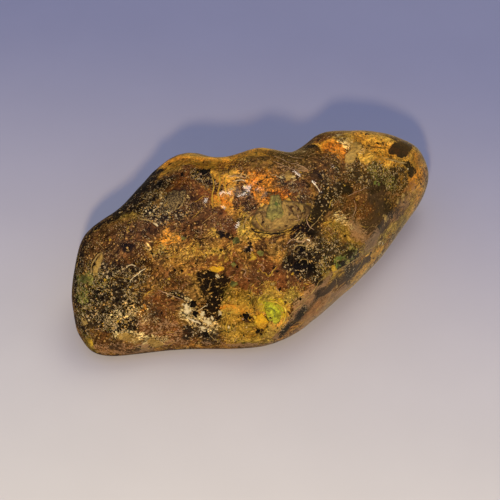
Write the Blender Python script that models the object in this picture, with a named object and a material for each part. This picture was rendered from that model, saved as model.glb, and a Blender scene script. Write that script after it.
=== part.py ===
"""A free-form lump of raw copal, the hardened resin of a tropical tree, polished all over.

The lump is one closed body, 70 mm long, about 37 mm wide and 23 mm high. It lies along X and rests on a
flat worn into its underside, at Z = 0. Cross-sections along its length make a control cage, which is
subdivided into a smooth body. Swellings and hollows are then pushed into that body, and the flat is cut.

Units are metres, +Z up, and the origin is under the middle of the lump.
"""

import math
from typing import NamedTuple

import bmesh
import bpy
from mathutils import Vector

MM = 0.001

# Driving dimensions.
LENGTH = 70 * MM
HEIGHT = 23 * MM
RING_POINTS = 12  # points of the control cage around each cross-section
SHOULDER_POINT = 5  # which of them is the shoulder, counted from the far side over the crest
SUBDIVISIONS = 2
# Superellipse exponents: 2 is an ellipse, and more is squarer.
FAR_FULLNESS = 2.1
UNDERSIDE_FULLNESS = 2.6
SLOPE_SHARE = 0.52  # how far down the near slope its middle control point is, from the crest
SHOULDER_CREASE = 0.75  # 0 is rounded by the subdivision and 1 is a sharp edge
FLAT_TOLERANCE = 0.05 * MM  # a cut edge this near the flat's plane belongs to it

# Finish of the resin.
RESIN_COLOUR = (0.31, 0.16, 0.035, 1.0)
RESIN_ROUGHNESS = 0.12
RESIN_IOR = 1.54


class Section(NamedTuple):
    """One cross-section, in millimetres: where it is, and the points that shape it."""

    x: float
    near: float  # Y of the near side
    near_height: float  # Z where the near side is widest
    shoulder: float  # Y of the shoulder over the near side, where the top slope begins
    shoulder_height: float
    slope_bulge: float  # how far the middle of the near slope stands proud
    far: float
    far_height: float
    crest: float  # Y of the highest point
    crest_height: float
    keel_depth: float  # how far the underside would reach below the flat


class Swelling(NamedTuple):
    """A round swelling of the surface, or a hollow where its rise is negative, in millimetres."""

    x: float
    y: float
    z: float
    radius: float
    rise: float


# The blunt end is at -X and the narrower end at +X. The far side bulges near the middle and is waisted
# twice on its way to the narrow end, and the near side is fullest a little before the middle. A shoulder
# runs along the near side, low at the blunt end and higher past the middle, over a steep worn face.
SECTIONS = (
    Section(-33.5, 0.6, 2.2, 1.2, 4.6, 0.5, 6.6, 6.5, 5.0, 9.0, -2.0),
    Section(-31.0, -1.9, 2.6, -1.0, 5.4, 0.8, 11.0, 7.5, 5.5, 13.0, 1.0),
    Section(-25.0, -4.5, 2.8, -3.5, 5.4, 1.5, 17.5, 8.0, 6.0, 17.5, 2.5),
    Section(-18.0, -8.1, 2.8, -7.0, 5.6, 2.0, 18.5, 8.5, 5.5, 20.5, 3.0),
    Section(-11.0, -13.9, 3.0, -12.8, 6.2, 2.2, 21.0, 9.0, 5.5, 22.5, 3.0),
    Section(-4.0, -16.9, 3.8, -15.8, 8.2, 2.2, 22.5, 9.5, 5.0, 23.0, 3.0),
    Section(2.0, -16.2, 5.0, -15.1, 11.5, 2.2, 19.5, 9.5, 4.0, 23.0, 3.0),
    Section(7.0, -14.3, 5.5, -13.3, 12.5, 2.0, 15.0, 9.5, 3.0, 22.5, 3.0),
    Section(12.0, -13.8, 6.0, -12.8, 12.5, 2.0, 13.5, 9.5, 2.5, 21.5, 2.5),
    Section(17.0, -12.4, 6.0, -11.4, 12.0, 2.0, 10.5, 9.5, 1.5, 20.5, 2.5),
    Section(22.0, -10.2, 6.0, -9.2, 11.5, 1.8, 11.5, 9.5, 1.0, 20.5, 2.0),
    Section(27.0, -7.8, 6.0, -7.0, 11.0, 1.6, 9.5, 9.0, 1.0, 19.5, 0.5),
    Section(32.0, -6.3, 6.5, -5.4, 10.0, 1.2, 6.5, 8.5, 1.0, 16.5, -1.5),
    Section(36.5, -2.8, 7.0, -2.3, 9.0, 0.5, 2.5, 8.5, 0.5, 11.5, -4.5),
)

SWELLINGS = (
    # The far edge of the top: three swellings with a notch after each of the first two.
    Swelling(-3.0, 16.0, 17.5, 5.5, 0.9),
    Swelling(2.0, 15.0, 18.5, 4.0, -1.6),
    Swelling(8.0, 10.5, 19.0, 4.5, 0.8),
    Swelling(13.5, 9.5, 18.5, 4.0, -1.5),
    Swelling(19.0, 7.5, 18.0, 4.5, 1.4),
    # The top: a broad hollow at the blunt end, a low rise in the middle and a flat at the narrow end.
    Swelling(-17.0, -2.0, 18.0, 9.0, -0.8),
    Swelling(5.0, -6.0, 19.0, 7.0, 0.6),
    Swelling(26.0, -4.0, 16.0, 7.0, -0.6),
    # The near side: a shoulder over the middle of the side, and a worn flat on each side of it.
    Swelling(7.0, -15.0, 6.5, 6.0, 0.7),
    Swelling(-16.0, -11.0, 9.0, 7.0, -0.6),
    Swelling(20.0, -9.0, 12.0, 5.0, -0.5),
    # The far side and the blunt end: hollows where flakes came away before the lump was worn smooth.
    Swelling(-19.0, 18.0, 9.0, 7.5, -1.1),
    Swelling(-5.0, 22.0, 5.0, 6.0, 0.5),
    Swelling(23.0, 10.5, 9.0, 6.0, -0.9),
    Swelling(-34.0, 6.0, 11.0, 5.0, -0.6),
    Swelling(-24.5, 13.0, 13.5, 4.5, 1.2),
)


def clear_scene() -> None:
    """Removes the objects that the scene starts with."""
    for obj in list(bpy.data.objects):
        bpy.data.objects.remove(obj, do_unlink=True)


def arc_point(section: Section, angle: float) -> tuple[float, float]:
    """Y and Z of a section on its far slope or its underside: 0 is the far side, a quarter turn the crest."""
    across = math.cos(angle)
    upward = math.sin(angle)
    side = section.far if across > 0 else section.near
    side_height = section.far_height if across > 0 else section.near_height
    end_height = section.crest_height if upward > 0 else -section.keel_depth
    fullness = FAR_FULLNESS if upward > 0 else UNDERSIDE_FULLNESS
    y = section.crest + (side - section.crest) * abs(across) ** (2 / fullness)
    z = side_height + (end_height - side_height) * abs(upward) ** (2 / fullness)
    return y, z


def ring_points(section: Section) -> list[Vector]:
    """The control points around a section, from its far side over the crest to the near side and under."""
    fall = section.crest_height - section.shoulder_height
    run = section.crest - section.shoulder
    slope_y = section.crest - SLOPE_SHARE * run
    slope_z = section.crest_height - SLOPE_SHARE * fall + section.slope_bulge
    angles = [math.tau * index / RING_POINTS for index in range(RING_POINTS)]
    places = [arc_point(section, angle) for angle in angles]
    # The near slope isn't an arc: it runs from the crest to the shoulder.
    places[SHOULDER_POINT - 1] = (slope_y, slope_z)
    places[SHOULDER_POINT] = (section.shoulder, section.shoulder_height)
    return [Vector((section.x, y, z)) * MM for y, z in places]


def make_cage() -> bmesh.types.BMesh:
    """Joins the cross-sections into one closed cage of four-sided faces, with a fan at each end."""
    cage = bmesh.new()
    rings = []
    for section in SECTIONS:
        rings.append([cage.verts.new(point) for point in ring_points(section)])
    for ring, following in zip(rings, rings[1:]):
        for index in range(RING_POINTS):
            beside = (index + 1) % RING_POINTS
            cage.faces.new((ring[index], ring[beside], following[beside], following[index]))
    for ring in (rings[0], rings[-1]):
        cap = cage.faces.new(ring)
        bmesh.ops.poke(cage, faces=[cap])
    bmesh.ops.recalc_face_normals(cage, faces=cage.faces)
    crease = cage.edges.layers.float.new("crease_edge")
    for ring, following in zip(rings, rings[1:]):
        shoulder = cage.edges.get((ring[SHOULDER_POINT], following[SHOULDER_POINT]))
        shoulder[crease] = SHOULDER_CREASE
    return cage


def subdivided(cage: bmesh.types.BMesh) -> bpy.types.Mesh:
    """The smooth body that the cage controls, with Blender's own subdivision surface applied."""
    mesh = bpy.data.meshes.new("cage")
    cage.to_mesh(mesh)
    cage.free()
    guide = bpy.data.objects.new("cage", mesh)
    bpy.context.scene.collection.objects.link(guide)
    smoothing = guide.modifiers.new("Subdivision", "SUBSURF")
    smoothing.levels = SUBDIVISIONS
    smoothing.render_levels = SUBDIVISIONS
    graph = bpy.context.evaluated_depsgraph_get()
    body = bpy.data.meshes.new_from_object(guide.evaluated_get(graph))
    bpy.data.objects.remove(guide, do_unlink=True)
    return body


def swell(body: bmesh.types.BMesh) -> None:
    """Pushes the swellings and hollows into the body, along its normals."""
    body.normal_update()
    moves = []
    for vert in body.verts:
        rise = 0.0
        for swelling in SWELLINGS:
            centre = Vector((swelling.x, swelling.y, swelling.z)) * MM
            distance = (vert.co - centre).length / (swelling.radius * MM)
            rise += swelling.rise * MM * math.exp(-distance * distance)
        moves.append(vert.normal * rise)
    for vert, move in zip(body.verts, moves):
        vert.co += move


def fit(body: bmesh.types.BMesh) -> None:
    """Scales the body to its length and height, and centres its plan over the origin."""
    xs = [vert.co.x for vert in body.verts]
    ys = [vert.co.y for vert in body.verts]
    crest = max(vert.co.z for vert in body.verts)
    stretch = LENGTH / (max(xs) - min(xs))
    middle_x = (min(xs) + max(xs)) / 2
    middle_y = (min(ys) + max(ys)) / 2
    for vert in body.verts:
        vert.co.x = (vert.co.x - middle_x) * stretch
        vert.co.y -= middle_y
        vert.co.z *= HEIGHT / crest


def cut_flat(body: bmesh.types.BMesh) -> None:
    """Cuts the underside off at Z = 0 and closes it with one flat face."""
    geometry = body.verts[:] + body.edges[:] + body.faces[:]
    bmesh.ops.bisect_plane(
        body,
        geom=geometry,
        dist=FLAT_TOLERANCE,
        plane_co=(0, 0, 0),
        plane_no=(0, 0, 1),
        clear_inner=True,
    )
    rim = [edge for edge in body.edges if edge.is_boundary]
    for vert in {vert for edge in rim for vert in edge.verts}:
        vert.co.z = 0
    bmesh.ops.contextual_create(body, geom=rim)
    bmesh.ops.recalc_face_normals(body, faces=body.faces)


def resin_material() -> bpy.types.Material:
    """Honey-brown hardened resin with a polished surface."""
    material = bpy.data.materials.new("resin")
    material.use_nodes = True
    shader = material.node_tree.nodes["Principled BSDF"]
    shader.inputs["Base Color"].default_value = RESIN_COLOUR
    shader.inputs["Roughness"].default_value = RESIN_ROUGHNESS
    shader.inputs["Metallic"].default_value = 0.0
    shader.inputs["IOR"].default_value = RESIN_IOR
    return material


def make_copal() -> bpy.types.Object:
    """Builds the lump: cage, smooth body, swellings, final size and flat."""
    mesh = subdivided(make_cage())
    body = bmesh.new()
    body.from_mesh(mesh)
    swell(body)
    fit(body)
    cut_flat(body)
    body.to_mesh(mesh)
    body.free()
    mesh.name = "copal"
    mesh.materials.append(resin_material())
    mesh.shade_smooth()
    copal = bpy.data.objects.new("copal", mesh)
    bpy.context.scene.collection.objects.link(copal)
    return copal


def main() -> None:
    """Clears the scene and builds the lump in it."""
    clear_scene()
    make_copal()


main()
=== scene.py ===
"""A worn, glossy lump of raw copal on a pale table.

The lump is clear honey-coloured resin with a worn polish. What is sealed in it is made as real pieces
inside: a cloudy body of debris-filled resin, grains of soil and wood, crumbs, a bark chip, lenses of clearer
resin, green spots and flow threads. Lengths are in millimetres where a name or a comment says so, and in
metres elsewhere. Places on the lump that the camera sees are given as columns and rows of its picture.
"""

import logging
import math
from dataclasses import dataclass, field
from enum import Enum

import bmesh
import bpy
import numpy as np
from bpy.types import Material, Mesh, Node, NodeSocket, NodeTree, Object
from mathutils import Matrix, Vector, noise
from mathutils.bvhtree import BVHTree


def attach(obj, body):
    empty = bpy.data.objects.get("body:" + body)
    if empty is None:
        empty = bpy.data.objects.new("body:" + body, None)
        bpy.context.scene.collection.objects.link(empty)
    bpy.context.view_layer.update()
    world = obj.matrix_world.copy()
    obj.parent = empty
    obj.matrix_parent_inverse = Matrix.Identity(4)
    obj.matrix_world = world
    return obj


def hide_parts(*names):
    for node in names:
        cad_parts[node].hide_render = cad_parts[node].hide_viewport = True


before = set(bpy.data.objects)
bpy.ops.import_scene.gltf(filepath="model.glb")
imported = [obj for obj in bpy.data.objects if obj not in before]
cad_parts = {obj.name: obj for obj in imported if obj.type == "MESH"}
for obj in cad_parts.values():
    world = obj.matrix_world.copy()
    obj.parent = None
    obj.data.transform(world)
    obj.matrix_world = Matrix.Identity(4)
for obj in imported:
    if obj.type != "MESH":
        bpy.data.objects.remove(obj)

LOG = logging.getLogger("copal")
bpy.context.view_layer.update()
MM = 0.001
NODE = "copal"
BODY = "root"
IMAGE_SIDE = 500  # pixels across the square picture that the camera takes
RESIN_INDEX = 1.54  # index of refraction
GLINT_AZIMUTH = 120.0  # degrees: where the lamp stands that the worn facets reflect
GLINT_ELEVATION = 78.0  # degrees
GLINT_DISTANCE = 0.30  # metres

Pixel = tuple[float, float]
Colour = tuple[float, float, float, float]
Triple = tuple[float, float, float]
Range = tuple[float, float]
Fed = float | tuple[float, ...] | NodeSocket  # what a node's socket takes: a value or a link


class Tint(Enum):
    """Named tints of the cloudy resin. Each is a painted mask on its surface. Some gold and ember strokes
    are also painted glow, and some taupe and smoke strokes a painted reflection of the table.
    """

    UMBER = "umber"
    RUST = "rust"
    TAUPE = "taupe"
    OLIVE = "olive"
    GOLD = "gold"
    EMBER = "ember"
    LIME = "lime"
    SMOKE = "smoke"
    SOIL = "soil"
    PITCH = "pitch"
    MOSS = "moss"
    CREAM = "cream"
    CLEAR = "clear"  # not a colour: the cloud lies deeper here, under clear resin


class Tone(Enum):
    """Named tones of the small things sealed in the resin."""

    BLACK = "black"
    BROWN = "brown"
    GREEN = "green"
    YELLOW = "yellow"
    TAN = "tan"
    PINK = "pink"
    CREAM = "cream"


@dataclass(frozen=True)
class Viewpoint:
    """Where the camera stands, looking at a point of the lump."""

    azimuth: float = math.radians(-33)
    elevation: float = math.radians(52)
    distance: float = 0.300
    seen_width: float = 0.0872  # metres across the picture at the target
    target: Triple = (-0.0026, -0.0027, 0.0090)
    sensor_width: float = 36.0  # millimetres

    def backward(self) -> Vector:
        """Works out which way the camera is from its target.

        Returns:
            A unit vector from the target to the camera.
        """
        level = math.cos(self.elevation)
        return Vector(
            (
                math.sin(self.azimuth) * level,
                -math.cos(self.azimuth) * level,
                math.sin(self.elevation),
            )
        )

    def place(self) -> Vector:
        """Where the camera is."""
        return Vector(self.target) + self.backward() * self.distance

    def ray(self, pixel: Pixel) -> Vector:
        """The direction of sight through a pixel of the picture.

        Args:
            pixel: Column and row in a picture of IMAGE_SIDE pixels.

        Returns:
            A unit vector away from the camera.
        """
        right = Vector((math.cos(self.azimuth), math.sin(self.azimuth), 0))
        up = self.backward().cross(right)
        focal = IMAGE_SIDE * self.distance / self.seen_width
        across = pixel[0] - IMAGE_SIDE / 2
        upward = IMAGE_SIDE / 2 - pixel[1]
        return (right * across + up * upward - self.backward() * focal).normalized()

    def add_camera(self) -> Object:
        """Makes the camera and gives it to the scene.

        Returns:
            The camera.
        """
        data = bpy.data.cameras.new("camera")
        data.sensor_width = self.sensor_width
        data.lens = self.sensor_width * self.distance / self.seen_width
        data.clip_start = 0.01
        camera = bpy.data.objects.new("camera", data)
        camera.location = self.place()
        camera.rotation_euler = self.backward().to_track_quat("Z", "Y").to_euler()
        bpy.context.scene.collection.objects.link(camera)
        bpy.context.scene.camera = camera
        return camera


def series(kind: type, option: Enum, *rows: tuple) -> tuple:
    """Makes several things of one tint or tone.

    Args:
        kind: Their class.
        option: Their tint or tone.
        *rows: The rest of each one's values.

    Returns:
        The things, in the rows' order.
    """
    return tuple(kind(option, *row) for row in rows)


@dataclass(frozen=True)
class Patch:
    """A stroke of one tint on the cloudy resin, between two places that the camera sees."""

    tint: Tint
    start: Pixel
    end: Pixel
    radius: float  # millimetres
    strength: float = 1.0  # below 1 the stroke breaks up into flecks


# Each tint's strokes: from the blunt end over the top to the narrow end, then back along the near side.
SEEN_PATCHES = (
    # Gold is the resin's own honey colour; its strokes along the thin far rims and round the narrow end are
    # also painted glow, bright as if light shone through the edges.
    *series(
        Patch,
        Tint.GOLD,
        ((161, 169), (188, 160), 1.9), ((182, 157), (222, 163), 2.0), ((172, 163), (204, 161), 1.2),
        ((160, 167), (180, 157), 1.2), ((157, 175), (169, 166), 1.6, 0.95),
        ((211, 177), (221, 206), 2.0, 0.95), ((224, 192), (229, 175), 2.0, 0.85),
        ((205, 218), (212, 233), 1.0, 0.95), ((241, 153), (283, 151), 1.3), ((236, 157), (262, 151), 1.4),
        ((222, 158), (242, 157), 1.1, 0.80), ((312, 148), (326, 138), 1.3),
        ((362, 136), (388, 143), 2.0, 0.78), ((364, 153), (386, 158), 1.8, 0.90),
        ((345, 135), (362, 138), 1.4, 0.80), ((380, 160), (414, 163), 1.4), ((405, 152), (420, 165), 1.3),
        ((421, 158), (424, 197), 2.2), ((421, 194), (408, 213), 1.7), ((407, 214), (399, 222), 1.1, 0.90),
        ((333, 230), (352, 244), 1.9, 0.92), ((392, 228), (407, 216), 0.9, 0.75),
        ((328, 303), (358, 281), 1.0), ((356, 281), (386, 251), 1.5), ((369, 264), (381, 249), 1.0),
        ((296, 288), (306, 296), 1.4, 0.60), ((255, 290), (288, 297), 2.0, 0.58),
        ((236, 308), (257, 305), 1.8, 0.90), ((228, 326), (262, 334), 2.4, 0.50),
        ((283, 308), (275, 335), 1.2), ((176, 258), (232, 252), 2.4, 0.28),
        ((230, 342), (266, 342), 0.7, 0.60), ((87, 338), (94, 350), 1.1, 0.60),
    ),
    # Ember strokes are partly the resin's own orange and partly painted glow of light gathered in the resin.
    *series(
        Patch,
        Tint.EMBER,
        ((150, 233), (169, 240), 1.9, 0.62), ((258, 176), (280, 189), 2.2, 0.72),
        ((254, 197), (267, 202), 1.3, 0.90), ((226, 198), (246, 194), 1.2, 0.80),
        ((332, 149), (345, 156), 2.1, 1.0), ((228, 304), (240, 319), 1.2, 0.50),
        ((134, 296), (141, 306), 1.1, 0.90),
    ),
    *series(
        Patch,
        Tint.OLIVE,
        ((121, 212), (136, 217), 1.1, 0.95), ((146, 245), (162, 249), 1.0, 0.55),
        ((193, 162), (216, 160), 1.0, 0.75), ((254, 222), (300, 214), 2.6, 0.90),
        ((334, 165), (342, 172), 0.9, 0.45), ((410, 206), (416, 194), 1.0, 0.60),
        ((333, 231), (353, 243), 2.0, 0.95), ((384, 234), (404, 221), 1.3, 0.85),
        ((327, 268), (339, 275), 1.3, 0.85), ((360, 246), (378, 243), 1.3, 0.70),
        ((230, 292), (254, 300), 2.1), ((255, 290), (288, 297), 2.0, 0.70),
        ((228, 326), (262, 334), 2.4, 0.85), ((226, 318), (246, 340), 2.0, 0.55),
        ((232, 338), (264, 342), 1.5, 0.80), ((196, 246), (224, 262), 1.6, 0.42),
        ((88, 293), (104, 280), 1.2), ((83, 304), (86, 327), 0.8, 0.80), ((84, 333), (92, 348), 1.2),
    ),
    *series(
        Patch,
        Tint.RUST,
        ((171, 180), (201, 193), 2.2), ((188, 175), (176, 188), 1.8, 0.90),
        ((218, 218), (229, 228), 1.4, 0.95), ((286, 182), (310, 202), 2.2, 0.62),
        ((318, 160), (330, 166), 1.2, 0.60), ((292, 190), (302, 196), 1.0, 0.60),
        ((322, 138), (342, 133), 1.2, 0.90), ((345, 170), (362, 186), 1.6, 0.65),
        ((356, 196), (370, 212), 2.0, 0.85), ((296, 284), (314, 282), 1.6, 0.60),
        ((228, 273), (257, 284), 1.9, 0.80), ((258, 267), (287, 279), 1.9, 0.90),
        ((150, 325), (181, 335), 2.6, 0.78), ((159, 300), (173, 320), 2.0, 0.66),
        ((188, 268), (234, 262), 1.7, 0.46), ((99, 346), (143, 347), 0.9, 0.95),
    ),
    *series(
        Patch,
        Tint.UMBER,
        ((127, 209), (140, 203), 1.3, 0.70), ((132, 205), (152, 193), 1.5, 0.70),
        ((88, 243), (146, 229), 2.8, 0.90), ((86, 254), (120, 233), 2.4, 0.90),
        ((110, 255), (140, 262), 2.2, 0.80), ((181, 204), (203, 219), 2.7, 0.95),
        ((177, 200), (186, 224), 1.9, 0.85), ((222, 163), (268, 168), 1.3, 0.60),
        ((277, 152), (309, 150), 1.6, 0.95), ((290, 163), (312, 171), 2.2, 0.85),
        ((241, 195), (253, 206), 1.4, 0.95), ((300, 156), (342, 178), 3.0, 0.92),
        ((312, 170), (337, 188), 2.6, 0.85), ((182, 224), (206, 238), 1.8, 0.65),
        ((352, 183), (405, 188), 1.6, 0.80), ((334, 206), (352, 215), 1.9, 0.70),
        ((316, 232), (341, 251), 2.0, 0.60), ((148, 268), (180, 286), 2.1, 0.65),
        ((100, 262), (128, 268), 1.6, 0.80), ((94, 317), (106, 327), 1.1, 0.90),
        ((97, 339), (117, 345), 1.3, 0.85),
    ),
    *series(
        Patch,
        Tint.TAUPE,
        ((282, 166), (306, 170), 0.8, 0.50), ((288, 184), (304, 190), 1.4, 0.55),
        ((409, 192), (416, 186), 1.0, 0.70), ((392, 195), (405, 204), 1.1, 0.75),
        ((382, 219), (399, 215), 0.8, 0.65), ((356, 227), (374, 238), 2.1, 0.90),
        ((296, 248), (313, 243), 1.6, 0.60), ((291, 250), (301, 258), 1.1, 0.60),
        # The strokes along the steep lower-right side here, and those along the bottom edge below, are
        # partly taupe resin and partly a painted reflection of the table in the polish.
        ((276, 338), (302, 308), 0.6, 0.95), ((302, 309), (320, 286), 1.4),
        ((318, 290), (334, 272), 0.5, 0.90), ((289, 338), (322, 303), 2.3), ((300, 342), (340, 306), 2.2),
        ((296, 336), (318, 313), 1.8), ((308, 318), (322, 300), 1.4), ((327, 300), (352, 284), 0.9, 0.85),
        ((150, 324), (181, 334), 2.2, 0.42), ((101, 349), (146, 350), 1.2, 0.80),
        ((145, 345), (268, 344), 0.7, 0.85),
    ),
    *series(
        Patch,
        Tint.SMOKE,
        ((378, 188), (384, 217), 2.4, 0.74), ((380, 197), (386, 212), 1.5, 0.95),
        ((387, 203), (400, 213), 1.6, 0.66), ((379, 214), (368, 226), 1.7, 0.66),
        # The smoke strokes along the lower-right ridge and the bottom edge are partly dark resin and partly
        # a painted reflection of the table in the polish.
        ((318, 294), (344, 279), 1.1), ((344, 279), (368, 260), 1.1), ((104, 348), (140, 349), 0.6, 0.70),
    ),
    *series(
        Patch,
        Tint.LIME,
        ((264, 304), (280, 309), 1.3, 0.80), ((93, 288), (103, 281), 0.8, 0.50),
    ),
    *series(
        Patch,
        Tint.SOIL,
        ((151, 181), (128, 207), 1.7, 0.50), ((166, 181), (150, 197), 1.7, 0.80),
        ((143, 206), (161, 218), 1.6), ((168, 200), (176, 212), 1.6, 0.75),
        ((198, 172), (210, 179), 1.1, 0.95), ((213, 178), (217, 186), 0.8, 0.70),
        ((287, 182), (307, 196), 1.5, 0.50), ((338, 189), (326, 200), 1.4, 0.85),
        ((322, 178), (336, 192), 1.3, 0.60), ((356, 174), (402, 178), 2.0, 0.70),
        ((374, 170), (392, 184), 1.5, 0.80), ((293, 263), (313, 273), 1.8),
        ((301, 251), (321, 263), 1.8, 0.85), ((338, 249), (355, 256), 1.5),
        ((343, 263), (353, 270), 1.2, 0.85), ((318, 240), (331, 262), 1.7, 0.75),
        ((289, 246), (299, 240), 1.2, 0.65), ((284, 331), (306, 309), 0.8, 0.80),
        ((189, 331), (217, 339), 1.4, 0.75), ((173, 293), (188, 300), 0.6, 0.85),
        ((140, 300), (156, 316), 1.6, 0.42), ((78, 262), (78, 300), 1.6, 0.95),
        ((96, 272), (133, 276), 2.0, 0.90), ((100, 290), (129, 301), 2.7), ((91, 307), (123, 323), 2.5),
        ((86, 300), (84, 331), 1.4, 0.80),
    ),
    *series(
        Patch,
        Tint.PITCH,
        ((147, 182), (122, 208), 2.1), ((149, 176), (124, 202), 1.4), ((150, 180), (132, 206), 1.6, 0.80),
        ((156, 174), (147, 186), 1.6, 0.90), ((122, 243), (129, 247), 0.6, 0.80),
        ((80, 256), (86, 238), 0.8, 0.85), ((87, 236), (118, 216), 0.6, 0.85),
        ((285, 147), (311, 146), 0.9, 0.90), ((286, 153), (306, 161), 1.1, 0.52),
        ((217, 234), (230, 236), 0.5, 0.85), ((327, 192), (311, 226), 1.5),
        ((314, 218), (297, 235), 1.3, 0.90), ((343, 187), (349, 193), 1.0, 0.90),
        ((318, 173), (324, 178), 0.8, 0.70), ((300, 180), (306, 186), 0.7, 0.45),
        ((408, 166), (415, 172), 0.8), ((388, 206), (393, 214), 0.7, 0.66),
        ((374, 192), (380, 188), 0.8, 0.60), ((392, 196), (404, 200), 0.6, 0.55),
        ((296, 266), (312, 271), 1.0, 0.85), ((338, 264), (352, 256), 1.3, 0.95),
        ((279, 336), (303, 313), 0.7, 0.90), ((204, 278), (223, 277), 1.1, 0.90),
        ((217, 282), (213, 314), 1.5, 0.92), ((202, 284), (210, 300), 1.1, 0.80),
    ),
    *series(
        Patch,
        Tint.MOSS,
        ((374, 172), (392, 183), 1.4, 0.30), ((341, 260), (352, 254), 1.1, 0.70),
        ((79, 279), (88, 281), 0.9, 0.90), ((78, 292), (84, 297), 0.9, 0.70),
    ),
    *series(
        Patch,
        Tint.CREAM,
        ((163, 195), (182, 197), 1.0, 0.38), ((168, 214), (182, 203), 0.9, 0.38),
        # The stroke from 231,177 to 254,176 is a painted highlight: a pale streak where the polish shines.
        ((138, 245), (160, 248), 0.9, 0.24), ((231, 177), (254, 176), 0.7, 0.55),
        ((285, 174), (292, 178), 0.9, 0.35), ((341, 138), (361, 148), 1.2, 0.48),
        ((353, 150), (350, 165), 0.8, 0.42), ((337, 216), (350, 226), 1.0, 0.42),
        ((301, 239), (311, 245), 1.0, 0.42), ((362, 276), (384, 252), 0.7, 0.50),
        ((186, 303), (188, 313), 0.9, 0.85), ((191, 317), (212, 328), 1.4, 0.60),
        ((128, 300), (150, 322), 1.6, 0.28), ((109, 323), (122, 312), 1.5, 0.30),
        ((118, 335), (139, 336), 0.9, 0.60), ((146, 341), (162, 340), 0.9, 0.95),
    ),
    *series(
        Patch,
        Tint.CLEAR,
        ((213, 174), (219, 204), 1.5, 0.80), ((170, 163), (222, 163), 1.6, 0.90),
        ((238, 155), (282, 152), 1.5, 0.80), ((258, 178), (276, 190), 1.9, 0.70),
        ((322, 148), (345, 152), 1.8, 0.60), ((364, 140), (384, 150), 1.8, 0.60),
        ((422, 164), (424, 197), 1.9, 0.80), ((236, 298), (254, 332), 2.2, 0.60),
        ((176, 186), (196, 192), 2.0, 0.60), ((352, 200), (366, 212), 2.0, 0.60),
        ((296, 330), (322, 300), 1.6, 0.60),
    ),
)


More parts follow.
